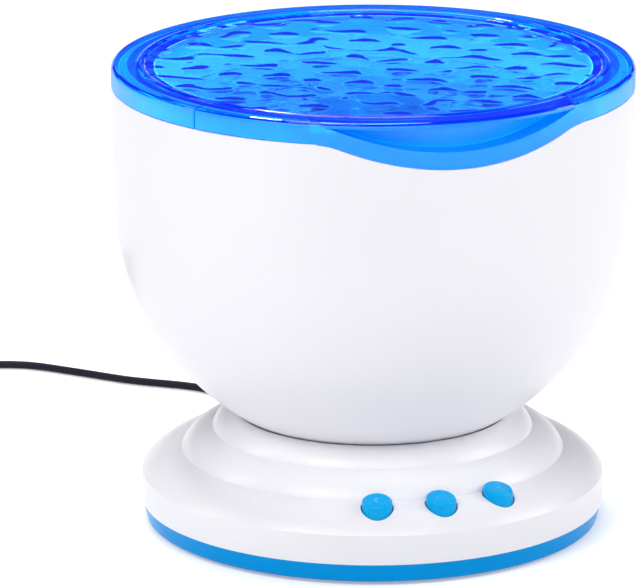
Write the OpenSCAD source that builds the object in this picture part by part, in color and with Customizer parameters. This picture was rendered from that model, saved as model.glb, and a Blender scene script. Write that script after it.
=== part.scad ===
// Ocean wave projector: a lamp bowl that tilts in a round tiered base, under a clear blue wave lid.
// Millimetres, +Z up, front towards -Y, origin on the table under the middle of the base.

/* [Base] */
// Height that the rubber feet hold the base plate off the table
foot_proud = 0.8; // [0.4:0.1:1.5]
// Radius of the rubber feet
foot_r = 4.5; // [3:0.1:5]
// Depth of the pockets that the feet are glued into
foot_pocket = 0.8; // [0.4:0.1:1.2]
// Radius of the base's upright side
base_r = 57.2; // [56:0.1:60]
// Height of the upright side above the base plate's underside
base_side_h = 11.9; // [11.5:0.1:13]
// Radius of the lower crease between the tiers
low_crease_r = 47.35; // [46.5:0.05:48.5]
// Height of the lower crease above the base plate's underside
low_crease_h = 17.45; // [16.8:0.05:18.2]
// Radius of the upper crease between the tiers
high_crease_r = 39.7; // [39:0.1:40.5]
// Height of the upper crease above the base plate's underside
high_crease_h = 22.85; // [22:0.05:23.5]
// Swell of the shoulder above its chord
shoulder_swell = 1.36; // [0.8:0.02:1.8]
// Swell of the lower tier above its chord
low_tier_swell = 1.33; // [0.6:0.01:1.6]
// Swell of the upper tier above its chord
high_tier_swell = 1; // [0.4:0.05:1.4]
// Wall of the base housing
base_wall = 2.2; // [1.8:0.1:2.6]
// Height of the coloured ring of the base plate
ring_h = 4.6; // [4:0.1:5]
// Flare of that ring from its lower to its upper edge
ring_flare = 1; // [0:0.1:1.5]
// Thickness of the base plate inside the ring
plate_t = 2.4; // [2:0.1:3]

/* [Socket and tilt] */
// Radius of the socket's mouth
mouth_r = 34; // [33:0.1:35]
// Running gap between the bowl and its socket
socket_gap = 0.3; // [0.2:0.05:0.6]
// Wall of the socket cup
cup_t = 2.4; // [2:0.1:3]
// Tilt of the bowl to the front and to the back, in degrees
tilt_limit = 22.5; // [15:0.5:22.5]
// Radius of the hollow pivot post
post_r = 4.5; // [4:0.1:5]
// Radius of the post's wire way
post_bore_r = 2.6; // [2:0.1:3]
// Gap between the post and the slot in the cup
slot_gap = 0.3; // [0.2:0.05:0.6]
// Radius of the dished washer that rides under the cup
dish_r = 8.2; // [7.5:0.1:8.4]
// Thickness of that washer
dish_t = 1.6; // [1.2:0.1:2]
// Height of the spring washer below it
spring_h = 1.2; // [0.8:0.1:1.6]
// Thickness of the post's head
head_t = 2; // [1.6:0.1:2.6]

/* [Bowl] */
// Radius of the bowl's round underside
bowl_r = 63.4; // [62.5:0.1:64.5]
// Height of the bowl's lowest point above the base plate's underside
pole_h = 17.9; // [17.4:0.1:18.6]
// Height of the straight wall above the round part
wall_h = 28.4; // [26:0.1:32]
// Spread of the straight wall from the round part to the rim, which the lid's band continues
rim_flare = 0.6; // [0.2:0.1:1.6]
// Wall of the bowl
bowl_wall = 2.2; // [1.8:0.1:2.4]

/* [Lid] */
// Height of the lid's band above the bowl's rim
lid_h = 5.3; // [4.8:0.1:6.5]
// Thickness of the lid's top plate
lid_plate_t = 1.3; // [1.1:0.1:1.6]
// Rounding of the lid's upper edge
lid_round = 1.2; // [0.8:0.1:1.2]
// Wall of the band, with the spigot behind it
lid_wall = 4; // [3.6:0.1:4.5]
// Depth of the spigot inside the bowl
spigot_h = 3.5; // [2.5:0.1:4]
// Gap between the spigot and the bowl's wall
spigot_gap = 0.5; // [0.3:0.05:0.8]
// Gap under the lobe, where the bowl's rim dips to clear it
lobe_gap = 0.2; // [0.1:0.05:0.4]
// Depth of the front lobe below the band
lobe_drop = 6.2; // [5:0.1:7]
// Width of the front lobe
lobe_w = 61.4; // [56:0.2:66]
// Fillet where the lobe runs into the band
lobe_fillet = 12; // [8:1:16]
// Height of the lip below the finger notch
lip_h = 4.1; // [3.6:0.1:4.5]
// Depth of the finger notch behind the lip
notch_depth = 6; // [5:0.1:6.5]
// Wall behind the finger notch
notch_wall = 1.5; // [1.2:0.1:2]
// Angle from the front to the slits at the ends of the front band
slit_angle = 60.5; // [50:0.5:70]
// Width of those slits
slit_w = 0.5; // [0.3:0.1:0.8]
// Distance of the wave lens from the lid's outer edge
lens_inset = 8.5; // [8.3:0.1:10]
// Thickness of the lens
lens_t = 2.2; // [1.8:0.1:2.6]
// Gap round the lens
lens_gap = 0.15; // [0.1:0.05:0.3]
// Width of the ledge under the lens
lens_ledge = 2.4; // [1.8:0.1:3]
// Width of the rounded rib round the lens
rib_w = 1.8; // [1.4:0.1:2]
// Depth of a full wave in the lens's underside
wave_h = 0.5; // [0.4:0.05:1.1]
// Length of the groove that carries a slit on over the lid's edge
slit_groove_l = 3; // [2:0.1:4]
// Broken edge at the foot of the band
band_break = 0.35; // [0.2:0.05:0.5]

/* [Lamp] */
// Height of the lamp deck's top below the middle of the bowl's round part, less than 0 above it
deck_drop = -3; // [-4:0.5:1]
// Gap between the lamp deck and the bowl's wall
deck_gap = 4; // [2:0.5:6]
// Thickness of the lamp deck
deck_t = 2; // [1.6:0.1:2.6]
// Distance of the pillars' axes from the deck's edge
pillar_inset = 11; // [8:0.5:14]
// Radius of the pillars
pillar_r = 3.6; // [3:0.1:4.5]
// Radius of the gear motor's can
motor_r = 14; // [12:0.5:15]
// Height of the can
motor_h = 12; // [10:0.5:15]
// Distance from the can's axis to its output shaft
motor_offset = 8; // [6:0.5:9]
// Distance of the motor's ears from the can's axis
ear_pitch = 17.5; // [17:0.1:19]
// Radius of the output shaft
shaft_r = 2.5; // [2:0.1:3]
// Depth of the flat on the output shaft
shaft_flat = 0.5; // [0.3:0.1:0.8]
// Radial clearance of the shaft in the motor and in the hub
shaft_gap = 0.05; // [0.02:0.01:0.1]
// Thickness of the circuit boards
board_t = 1.6; // [1.2:0.1:2]
// Outer radius of the lamp board
led_board_r = 34; // [32:0.5:36]
// Radius of the hole in the lamp board
led_board_bore = 9; // [8:0.5:12]
// Height of the spacers under the lamp board
led_spacer_h = 2; // [1.5:0.1:3]
// Number of light-emitting diodes
led_count = 12; // [6:1:14]
// Pitch radius of the diodes
led_pitch_r = 22; // [20:0.5:24]
// Radius of a diode
led_r = 2.5; // [1.5:0.1:2.5]
// Height of a diode above the lamp board
led_h = 8.6; // [6:0.1:9]
// Gap between the turning wave disc and the wall of the finger notch
disc_gap = 4.5; // [3:0.5:8]
// Thickness of the wave disc below its waves
disc_t = 1.8; // [1.4:0.1:2.4]
// Greatest height of the disc's waves above and below their mean
disc_wave_h = 0.3; // [0.2:0.05:0.8]
// Depth of the wave disc's upper face below the bowl's rim
disc_drop = 7.5; // [7:0.1:10]
// Radius of the hub
hub_r = 4.5; // [4:0.1:5.5]
// Length of the hub below its flange
hub_l = 10; // [8:0.5:11]
// Radius of the hub's flange
hub_flange_r = 14; // [10:0.5:16]

/* [Buttons] */
// Radius of a button
button_r = 3.65; // [3.2:0.05:3.8]
// Gap between a button and its hole
button_gap = 0.35; // [0.25:0.05:0.5]
// Distance of the buttons' axes from the base's side
button_inset = 6.8; // [6.6:0.1:7.5]
// Angle between neighbouring buttons
button_step = 17.9; // [16:0.1:19]
// Height of a button's top, at its axis, above the base plate's underside
button_top_h = 18.9; // [18:0.1:20]
// Slope of a button's top towards the front
button_slope = 14; // [8:1:18]
// Travel of a button
button_travel = 1; // [0.5:0.1:1.2]
// Radius of a switch's plunger
plunger_r = 1.75; // [1.4:0.05:2]
// Side of a switch's body
switch_w = 6; // [5.5:0.1:6.5]
// Height of a switch's body
switch_h = 3.5; // [3.2:0.1:3.8]
// Gap under the key board
key_standoff = 0.7; // [0.4:0.1:1]

/* [Sound] */
// Distance of the speaker's axis from the base's inner wall
speaker_inset = 25; // [24:0.1:25.5]
// Radius of the speaker's frame
speaker_r = 16; // [14:0.5:16]
// Height of the speaker's basket and magnet
speaker_h = 9.3; // [8.6:0.1:10]
// Thickness of the foam gasket under the speaker
gasket_t = 0.8; // [0.5:0.1:1.2]
// Width of the slots below the speaker
grille_slot_w = 2; // [1.5:0.1:2.5]
// Spacing of those slots
grille_pitch = 4.4; // [4:0.1:5]

/* [Main board] */
// Length of the main board, front to back
main_l = 40; // [36:1:42]
// Width of the main board
main_w = 31; // [29:0.5:32]
// Distance of the main board's outer edge from the base's inner wall
main_inset = 9; // [8:0.1:9.5]
// Height of the standoffs under the main board
main_standoff = 3; // [2:0.1:3.5]

/* [Cord] */
// Diameter of the cord
cord_d = 2; // [1.8:0.1:2]
// Height of the cord's exit above the base plate's underside
gland_h = 7; // [6.8:0.1:7.2]
// Length of the strain relief outside the base
gland_l = 15; // [14:0.5:16]
// Radius of the strain relief's neck in the wall
gland_neck_r = 2.6; // [2.4:0.1:2.8]
// Turns in each layer of the put-away coil
coil_turns = 3; // [2:1:3]
// Layers of the coil
coil_layers = 4; // [2:2:4]
// Inner radius of the coil, at the middle of the cord
coil_in_r = 7; // [6.5:0.1:7.5]
// Distance between neighbouring turns
coil_pitch = 2.55; // [2.5:0.05:2.7]

/* [Hidden] */
$fn = 96;

// Finishes
white_abs = "white";
clear_blue = [0.1, 0.5, 1, 0.6];
button_blue = "deepskyblue";
board_green = "seagreen";
steel = "silver";
dark_rubber = [0.1, 0.1, 0.12];

// Heights above the table
function up(h) = foot_proud + h;
plate_top = up(plate_t);
ring_top = up(ring_h);
bowl_c = up(pole_h) + bowl_r;
seat = bowl_c + wall_h;
deck_top = bowl_c - deck_drop;
deck_under = deck_top - deck_t;
rim_r = bowl_r + rim_flare;
deck_r = sqrt(pow(bowl_r - bowl_wall, 2) - pow(deck_drop + deck_t, 2)) - deck_gap;
pillar_pitch_r = deck_r - pillar_inset;

// The socket's mouth lies where the upper tier meets the cup's round face
cup_face_r = bowl_r + socket_gap;
cup_back_r = cup_face_r + cup_t;
mouth_z = bowl_c - sqrt(cup_face_r * cup_face_r - mouth_r * mouth_r);

// Radii in the base
inner_r = base_r - base_wall;
ring_top_r = base_r - 0.1;
ring_low_r = ring_top_r - ring_flare;
ring_in_r = inner_r - 1.2;
button_pitch_r = base_r - button_inset;
foot_pitch_r = base_r - 8.7;
screw_pitch_r = base_r - 10.2;
speaker_x = inner_r - speaker_inset;
main_x = inner_r - main_inset - main_w;

// Fasteners
screw_r = 1.4;
screw_hole_r = screw_r + 0.05;
screw_clear_r = screw_r + 0.25;
head_r = 2.7;
head_h = 1.7;
small_screw_r = 1;
small_hole_r = small_screw_r + 0.05;
small_head_r = 1.9;
small_head_h = 1.2;
boss_r = 4.2;
seat_clear = 0.05;
base_screw_l = 9;
deck_screw_l = 10;
speaker_screw_l = 2.4;
main_screw_l = 4.2;
key_screw_l = 3;
motor_screw_l = 4;
led_screw_l = 3.4;

// Plan places, as angles from +X
screw_angles = [45, 135, 225, 315];
foot_angles = [0, 90, 180, 270];
pillar_angles = [30, 150, 270];
led_screw_angles = [90, 210, 330];

// Shared lines
arc_steps = 14;
function turned(v) = [v[1], -v[0]];
function unit(v) = v / norm(v);
function on_circle(r, a) = [r * cos(a), r * sin(a)];
// Points of an arc from p to q that swells to the right of the way from p to q
function arc_between(p, q, swell, n = arc_steps) =
    let (chord = norm(q - p))
    let (rad = (chord * chord / 4 + swell * swell) / (2 * swell))
    let (out = unit(turned(q - p)))
    let (centre = (p + q) / 2 + out * (swell - rad))
    let (mid = atan2(out[1], out[0]))
    let (half = asin(chord / 2 / rad))
    [for (i = [0:n]) centre + on_circle(rad, mid + half * (2 * i / n - 1))];
// Points of an arc about a centre, from angle a to angle b
function arc_about(centre, rad, a, b, n = arc_steps) =
    [for (i = [0:n]) centre + on_circle(rad, a + (b - a) * i / n)];

module at_angle(r, a) {
    translate([r * cos(a), r * sin(a), 0])
        rotate([0, 0, a])
            children();
}

module ring(r_in, r_out, z_low, z_high) {
    translate([0, 0, z_low])
        difference() {
            cylinder(r = r_out, h = z_high - z_low);
            translate([0, 0, -1])
                cylinder(r = r_in, h = z_high - z_low + 2);
        }
}

module post(r, z_low, z_high) {
    translate([0, 0, z_low])
        cylinder(r = r, h = z_high - z_low);
}

// A screw that points up, with its head's seat at z = 0
module screw_up(shank_r, shank_l, cap_r, cap_h) {
    slot_w = cap_r * 0.3;
    difference() {
        union() {
            translate([0, 0, -seat_clear])
                cylinder(r = shank_r, h = shank_l);
            translate([0, 0, -seat_clear - cap_h])
                cylinder(r1 = cap_r * 0.8, r2 = cap_r, h = cap_h);
        }
        for (a = [0, 90])
            rotate([0, 0, a])
                translate([-cap_r * 0.6, -slot_w / 2, -seat_clear - cap_h - 1])
                    cube([cap_r * 1.2, slot_w, cap_h * 0.5 + 1]);
    }
}

module screw_down(shank_r, shank_l, cap_r, cap_h) {
    mirror([0, 0, 1])
        screw_up(shank_r, shank_l, cap_r, cap_h);
}

// A tube swept along points, as one closed solid, with its rings set out from a fixed side
module tube(path, rad, sides, side_on) {
    count = len(path);
    along = [for (i = [0:count - 1]) unit(path[min(i + 1, count - 1)] - path[max(i - 1, 0)])];
    across = [for (t = along) unit(cross(t, side_on))];
    points = [for (i = [0:count - 1], k = [0:sides - 1])
        let (a = 360 * k / sides)
        path[i] + rad * (across[i] * cos(a) + cross(across[i], along[i]) * sin(a))];
    walls = [for (i = [0:count - 2], k = [0:sides - 1])
        let (a = i * sides + k, b = i * sides + (k + 1) % sides)
        each [[a, b, b + sides], [a, b + sides, a + sides]]];
    first = [for (k = [1:sides - 2]) [0, k + 1, k]];
    last_ring = (count - 1) * sides;
    last = [for (k = [1:sides - 2]) [last_ring, last_ring + k, last_ring + k + 1]];
    polyhedron(points, concat(walls, first, last));
}

// A round plate with one flat and one waved face; the waved face is level at its rim and inside flat_r
module waved_plate(r, z_flat, z_waved, rings, sectors, crest, shift, flat_r) {
    top = [for (i = [1:rings], j = [0:sectors - 1])
        let (p = on_circle(r * i / rings, 360 * j / sectors))
        [p[0], p[1], z_waved + crest * ripple(p[0] + shift, p[1]) * edge_fade(r * i / rings, flat_r, r)]];
    low = [for (j = [0:sectors - 1]) let (p = on_circle(r, 360 * j / sectors)) [p[0], p[1], z_flat]];
    middle = [[0, 0, z_waved + crest * ripple(shift, 0) * edge_fade(0, flat_r, r)], [0, 0, z_flat]];
    rim = (rings - 1) * sectors;
    under = rings * sectors;
    top_mid = under + sectors;
    low_mid = top_mid + 1;
    upper = [for (i = [0:rings - 2], j = [0:sectors - 1])
        let (a = i * sectors + j, b = i * sectors + (j + 1) % sectors)
        each [[a, b, b + sectors], [a, b + sectors, a + sectors]]];
    rest = [for (j = [0:sectors - 1])
        let (k = (j + 1) % sectors)
        each [[top_mid, k, j], [rim + j, rim + k, under + k], [rim + j, under + k, under + j],
            [low_mid, under + j, under + k]]];
    outward = concat(upper, rest);
    polyhedron(concat(top, low, middle),
        z_waved > z_flat ? outward : [for (f = outward) [f[0], f[2], f[1]]]);
}

// Water-like swell: crossing wave trains, each with its length in millimetres, heading and phase
wave_trains = [[11, 80, 20], [9.5, 118, 140], [8.5, 52, 260], [12.5, 15, 75], [10, 160, 310]];
function sum(list, i = 0) = i < len(list) ? list[i] + sum(list, i + 1) : 0;
// Height of the swell at a place, between -1 and 1
function wave(x, y) =
    sum([for (w = wave_trains) sin(360 * (x * cos(w[1]) + y * sin(w[1])) / w[0] + w[2])]) / len(wave_trains);
// Only the part of the swell above this level stands out of the level face
wave_level = 0.1;
function ripple(x, y) = max(0, wave(x, y) - wave_level);
fade_w = 3;
function edge_fade(r, flat_r, r_out) = max(0, min(1, (r_out - r) / fade_w, (r - flat_r) / fade_w));

// Base: outline and hollow of the tiers
crease_low = [low_crease_r, up(low_crease_h)];
crease_high = [high_crease_r, up(high_crease_h)];
shoulder_foot = [base_r, up(base_side_h)];
crease_set_in = 0.4 * base_wall;
crease_set_down = 1.3 * base_wall;
function inside(p) = p - [crease_set_in, crease_set_down];

module base_outline() {
    polygon(concat(
        [[0, ring_top], [base_r, ring_top]],
        arc_between(shoulder_foot, crease_low, shoulder_swell),
        arc_between(crease_low, crease_high, low_tier_swell),
        arc_between(crease_high, [mouth_r, mouth_z], high_tier_swell),
        [[0, mouth_z]]));
}

module base_hollow() {
    shoulder_in = [inner_r, up(base_side_h) - 0.6 * base_wall];
    mouth_in = inside([mouth_r, mouth_z]);
    difference() {
        rotate_extrude()
            polygon([[0, ring_top - 1], [inner_r, ring_top - 1], shoulder_in, inside(crease_low),
                inside(crease_high), mouth_in, [0, mouth_in[1]]]);
        translate([0, 0, bowl_c])
            sphere(r = cup_back_r);
    }
}

// The way of the pivot post through the cup
module tilt_slot() {
    slot_r = post_r + slot_gap;
    reach = cup_back_r + 6;
    translate([0, 0, bowl_c]) {
        for (side = [-1, 1])
            rotate([side * tilt_limit, 0, 0])
                translate([0, 0, -reach])
                    cylinder(r = slot_r, h = 12);
        rotate([90, 0, 90])
            translate([0, 0, -slot_r])
                linear_extrude(2 * slot_r)
                    polygon([[0, 0], reach * [-sin(tilt_limit), -cos(tilt_limit)],
                        reach * [0, -1], reach * [sin(tilt_limit), -cos(tilt_limit)]]);
    }
}

module at_button(k) {
    rotate([0, 0, k * button_step])
        translate([0, -button_pitch_r, 0])
            children();
}

// The cord's neck runs along +Y
module along_cord_exit() {
    translate([0, 0, up(gland_h)])
        rotate([-90, 0, 0])
            children();
}

gland_gap = 0.1;
gland_seat_gap = 0.35;
gland_flange_t = 1.6;
gland_flange_r = gland_neck_r + 0.8;
housing_boss_top = up(low_crease_h) - 2;

module base_housing() color(white_abs) {
    difference() {
        union() {
            difference() {
                rotate_extrude()
                    base_outline();
                base_hollow();
            }
            for (a = screw_angles)
                at_angle(screw_pitch_r, a)
                    post(boss_r, ring_top, housing_boss_top);
        }
        translate([0, 0, bowl_c])
            sphere(r = cup_face_r);
        tilt_slot();
        for (k = [-1:1])
            at_button(k)
                post(button_r + button_gap, up(base_side_h) - 4, up(button_top_h) + 6);
        for (a = screw_angles)
            at_angle(screw_pitch_r, a)
                post(screw_hole_r, ring_top - 1, housing_boss_top - 2);
        along_cord_exit() {
            post(gland_neck_r + gland_gap, inner_r - 5, base_r + 5);
            post(gland_flange_r + gland_gap, inner_r - 5, inner_r - gland_seat_gap + gland_gap);
        }
    }
}

// Base plate and what stands on it
counterbore_h = ring_h - 2;
grille_r = speaker_r - 4;
grille_rows = floor(grille_r / grille_pitch);
speaker_low = plate_top + gasket_t;
speaker_rim_t = 0.8;
speaker_rim_top = speaker_low + speaker_rim_t;
speaker_screw_pitch = speaker_r + 2.2;
speaker_screw_angles = [60, 180, 300];
main_low = plate_top + main_standoff;
main_top = main_low + board_t;
main_hole_inset = 3.2;
main_holes = [for (x = [main_hole_inset, main_w - main_hole_inset], y = [-1, 1])
    [-main_x - x, y * (main_l / 2 - main_hole_inset)]];
key_low = plate_top + key_standoff;
key_top = key_low + board_t;
key_in_r = button_pitch_r - 6.5;
key_out_r = inner_r - 1.6;
key_half_angle = button_step + 12;
key_screw_angle = button_step + 8.2;
key_screw_pitch = (key_in_r + key_out_r) / 2;

module at_speaker() {
    translate([speaker_x, 0, 0])
        children();
}

module at_main_holes() {
    for (p = main_holes)
        translate([p[0], p[1], 0])
            children();
}

module at_key_screws() {
    for (side = [-1, 1])
        at_angle(key_screw_pitch, 270 + side * key_screw_angle)
            children();
}

module grille_slot(length) {
    half = length / 2 - grille_slot_w / 2;
    translate([0, 0, up(0) - 1])
        linear_extrude(plate_t + 2)
            union() {
                square([2 * half, grille_slot_w], center = true);
                for (side = [-1, 1])
                    translate([side * half, 0])
                        circle(d = grille_slot_w);
            }
}

module base_plate() color(button_blue) {
    ring_edge = 0.4;
    rib_gap = 0.3;
    rib_t = 0.8;
    standoff_r = 2.4;
    difference() {
        union() {
            rotate_extrude()
                polygon([[0, up(0)], [ring_low_r - ring_edge, up(0)], [ring_low_r, up(ring_edge)],
                    [ring_top_r, ring_top], [ring_in_r, ring_top], [ring_in_r, plate_top], [0, plate_top]]);
            ring(inner_r - rib_gap - rib_t, inner_r - rib_gap, up(foot_pocket), ring_top + 1);
            for (a = screw_angles)
                at_angle(screw_pitch_r, a)
                    post(boss_r, up(foot_pocket), ring_top);
            at_main_holes()
                post(standoff_r, up(foot_pocket), main_low);
            at_key_screws()
                post(standoff_r, up(foot_pocket), key_low);
            for (a = speaker_screw_angles)
                at_speaker()
                    at_angle(speaker_screw_pitch, a)
                        post(small_screw_r + 0.9, up(foot_pocket), speaker_rim_top);
        }
        for (i = [-grille_rows:grille_rows])
            at_speaker()
                translate([0, i * grille_pitch, 0])
                    grille_slot(2 * sqrt(grille_r * grille_r - i * i * grille_pitch * grille_pitch));
        for (a = screw_angles)
            at_angle(screw_pitch_r, a) {
                post(screw_clear_r, up(0) - 1, ring_top + 1);
                post(head_r + 0.3, up(0) - 1, up(counterbore_h));
            }
        for (a = foot_angles)
            at_angle(foot_pitch_r, a)
                post(foot_r + 0.1, up(0) - 1, up(foot_pocket));
        at_main_holes()
            post(small_hole_r, plate_top - 1, main_low + 1);
        at_key_screws()
            post(small_hole_r, plate_top - 1, key_low + 1);
        for (a = speaker_screw_angles)
            at_speaker()
                at_angle(speaker_screw_pitch, a)
                    post(small_hole_r, plate_top - 1, speaker_rim_top + 1);
        along_cord_exit() {
            post(gland_neck_r + gland_gap, inner_r - 5, base_r + 5);
            post(gland_flange_r + 0.5, inner_r - 5, inner_r);
        }
    }
}

module rubber_feet() color(dark_rubber) {
    edge = 0.3;
    for (a = foot_angles)
        at_angle(foot_pitch_r, a)
            rotate_extrude()
                polygon([[0, 0], [foot_r - edge, 0], [foot_r, edge], [foot_r, up(foot_pocket)],
                    [0, up(foot_pocket)]]);
}

module base_screws() color(steel) {
    for (a = screw_angles)
        at_angle(screw_pitch_r, a)
            translate([0, 0, up(counterbore_h)])
                screw_up(screw_r, base_screw_l, head_r, head_h);
}

// Speaker, facing down over the grille
basket_neck_r = speaker_r * 0.53;
magnet_h = 4;
basket_h = speaker_h - magnet_h;
basket_wall = 0.8;
frame_flange_w = 3;
frame_in_r = speaker_r - frame_flange_w;
cone_gap = 0.05;
cone_edge_w = 0.25;
cone_edge_h = 0.3;

module speaker_gasket() color(dark_rubber) {
    at_speaker()
        ring(frame_in_r, speaker_r, plate_top, speaker_low);
}

module speaker_frame() color(steel) {
    vent_r = 3;
    basket_top_r = speaker_r - 2;
    at_speaker()
        translate([0, 0, speaker_low])
            rotate_extrude()
                polygon([[frame_in_r, 0], [speaker_r, 0], [speaker_r, speaker_rim_t],
                    [basket_top_r, speaker_rim_t], [basket_neck_r + 0.5, basket_h], [vent_r, basket_h],
                    [vent_r, basket_h - basket_wall], [basket_neck_r, basket_h - basket_wall],
                    [frame_in_r, basket_wall]]);
}

module speaker_magnet() color("dimgray") {
    at_speaker()
        post(basket_neck_r + 0.5, speaker_low + basket_h, speaker_low + speaker_h);
}

module speaker_cone() color([0.2, 0.2, 0.22]) {
    paper = 0.4;
    cone_lift = 0.1;
    dome_h = 0.8;
    deep = basket_h - 2 * basket_wall;
    cap_r = basket_neck_r * 0.55;
    edge_r = frame_in_r - cone_gap;
    at_speaker()
        translate([0, 0, speaker_low + cone_lift])
            rotate_extrude()
                polygon([[0, deep - paper - dome_h], [cap_r, deep - paper], [edge_r - cone_edge_w, 0],
                    [edge_r, cone_edge_h], [cap_r + paper / 2, deep], [0, deep]]);
}

module speaker_screws() color(steel) {
    for (a = speaker_screw_angles)
        at_speaker()
            at_angle(speaker_screw_pitch, a)
                translate([0, 0, speaker_rim_top])
                    screw_down(small_screw_r, speaker_screw_l, small_head_r + 1.2, small_head_h);
}

// Main board with its parts
module main_board() color(board_green) {
    difference() {
        translate([-main_x - main_w, -main_l / 2, main_low])
            cube([main_w, main_l, board_t]);
        at_main_holes()
            post(small_screw_r + 0.2, main_low - 1, main_top + 1);
    }
}

module main_board_screws() color(steel) {
    at_main_holes()
        translate([0, 0, main_top])
            screw_down(small_screw_r, main_screw_l, small_head_r, small_head_h);
}

module on_main(x, y) {
    translate([-main_x - main_w / 2 + x, y, main_top])
        children();
}

module sound_chip() color([0.12, 0.12, 0.12]) {
    chip = [10.3, 7.5, 2.3];
    on_main(-3, -6)
        translate([-chip[0] / 2, -chip[1] / 2, 0])
            cube(chip);
}

module capacitors() color("midnightblue") {
    can_r = 2.5;
    can_h = 6;
    for (y = [4, 10.5])
        on_main(-6, y)
            rotate_extrude()
                polygon([[0, 0], [can_r, 0], [can_r, can_h - 0.3], [can_r - 0.3, can_h], [0, can_h]]);
}

module lead_sockets() color("ivory") {
    socket = [5.8, 7.4, 5.6];
    wall = 0.8;
    for (y = [-9, 0, 9])
        on_main(7, y)
            difference() {
                translate([-socket[0] / 2, -socket[1] / 2, 0])
                    cube(socket);
                translate([-socket[0] / 2 + wall, -socket[1] / 2 + wall, wall])
                    cube([socket[0] - 2 * wall, socket[1] - 2 * wall, socket[2]]);
            }
}

// Key board, switches and buttons
switch_top = key_top + switch_h;
plunger_gap = 0.2;
plunger_low = key_top + 0.5 + button_travel;
button_low = switch_top + button_travel + 0.8;
button_ear_t = 1.5;

module key_board() color(board_green) {
    difference() {
        intersection() {
            ring(key_in_r, key_out_r, key_low, key_top);
            translate([0, 0, key_low - 1])
                linear_extrude(board_t + 2)
                    polygon([[0, 0], 2 * base_r * [-sin(key_half_angle), -cos(key_half_angle)],
                        2 * base_r * [sin(key_half_angle), -cos(key_half_angle)]]);
        }
        at_key_screws()
            post(small_screw_r + 0.2, key_low - 1, key_top + 1);
    }
}

module key_board_screws() color(steel) {
    at_key_screws()
        translate([0, 0, key_top])
            screw_down(small_screw_r, key_screw_l, small_head_r, small_head_h);
}

module tact_switches() color([0.15, 0.15, 0.16]) {
    for (k = [-1:1])
        at_button(k)
            difference() {
                translate([-switch_w / 2, -switch_w / 2, key_top])
                    cube([switch_w, switch_w, switch_h]);
                post(plunger_r + plunger_gap, plunger_low - button_travel - 0.3, switch_top + 1);
            }
}

module plunger(k) color([0.3, 0.3, 0.32]) {
    at_button(k)
        post(plunger_r, plunger_low, button_low);
}

module plunger_left() { plunger(-1); }
module plunger_middle() { plunger(0); }
module plunger_right() { plunger(1); }

// A button's rounded crown, about the middle of its sloped top
module button_crown() {
    rotate([button_slope, 0, 0])
        rotate_extrude()
            polygon([[0, 0], [button_r - 0.85, 0], [button_r - 0.4, -0.12], [button_r - 0.1, -0.4],
                [button_r + 0.12, -0.9], [button_r + 3, -9], [button_r + 3, -16], [0, -16]]);
}

module button(k) color(button_blue) {
    ear_span = 2 * (button_r + button_gap) + 3;
    ear_w = 2.2;
    at_button(k) {
        intersection() {
            post(button_r, button_low, up(button_top_h) + 4);
            translate([0, 0, up(button_top_h)])
                button_crown();
        }
        translate([-ear_span / 2, -ear_w / 2, button_low])
            cube([ear_span, ear_w, button_ear_t]);
    }
}

module button_left() { button(-1); }
module button_middle() { button(0); }
module button_right() { button(1); }

// Bowl
module bowl_section() {
    union() {
        difference() {
            intersection() {
                translate([0, bowl_c])
                    circle(r = bowl_r);
                translate([0, bowl_c - bowl_r])
                    square(bowl_r);
            }
            translate([0, bowl_c])
                circle(r = bowl_r - bowl_wall);
        }
        polygon([[bowl_r - bowl_wall, bowl_c], [bowl_r, bowl_c], [rim_r, seat], [rim_r - bowl_wall, seat]]);
    }
}

// Outline of the front lobe below the seat, seen from the front, closed upwards
lobe_r = (lobe_w * lobe_w / 4 + lobe_drop * lobe_drop) / (2 * lobe_drop);
lobe_centre = [0, seat - lobe_drop + lobe_r];
fillet_z = seat - lobe_fillet;
fillet_x = sqrt(pow(lobe_r + lobe_fillet, 2) - pow(lobe_centre[1] - fillet_z, 2));
lobe_turn = atan2(fillet_x, lobe_centre[1] - fillet_z);

module lobe_outline(lift, top) {
    polygon(concat(
        [[fillet_x, top]],
        arc_about([fillet_x, fillet_z + lift], lobe_fillet, 90, 90 + lobe_turn, 6),
        arc_about(lobe_centre + [0, lift], lobe_r, 270 + lobe_turn, 270 - lobe_turn, 28),
        arc_about([-fillet_x, fillet_z + lift], lobe_fillet, 90 - lobe_turn, 90, 6),
        [[-fillet_x, top]]));
}

module lobe_prism(lift, top) {
    rotate([90, 0, 0])
        linear_extrude(2 * rim_r)
            lobe_outline(lift, top);
}

pole_in = up(pole_h) + bowl_wall;
pole_boss_h = 3;
nut_low = pole_in + pole_boss_h;

module bowl_shell() color(white_abs) {
    boss_out_r = post_r + 8;
    difference() {
        union() {
            rotate_extrude()
                bowl_section();
            intersection() {
                translate([0, 0, bowl_c])
                    sphere(r = bowl_r - bowl_wall / 2);
                union() {
                    post(boss_out_r, up(pole_h), nut_low);
                    for (a = pillar_angles)
                        at_angle(pillar_pitch_r, a)
                            post(pillar_r, up(pole_h), deck_under);
                }
            }
        }
        post(post_r + 0.1, up(pole_h) - 5, nut_low + 1);
        for (a = pillar_angles)
            at_angle(pillar_pitch_r, a)
                post(screw_hole_r, deck_under - 10, deck_under + 1);
        lobe_prism(-lobe_gap, seat + 2);
    }
}

// Pivot: post, nut, dished washer and spring washer
dish_face_r = cup_back_r + 0.3;
dish_low = bowl_c - dish_face_r - dish_t;
spring_low = dish_low - spring_h;
head_top = spring_low - 0.1;
nut_h = 4;
nut_flats = 14;

module pivot_post() color(steel) {
    head_out_r = post_r + 2.6;
    difference() {
        union() {
            post(post_r, head_top, nut_low + nut_h + 1);
            post(head_out_r, head_top - head_t, head_top);
        }
        post(post_bore_r, head_top - head_t - 1, nut_low + nut_h + 3);
    }
}

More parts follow.
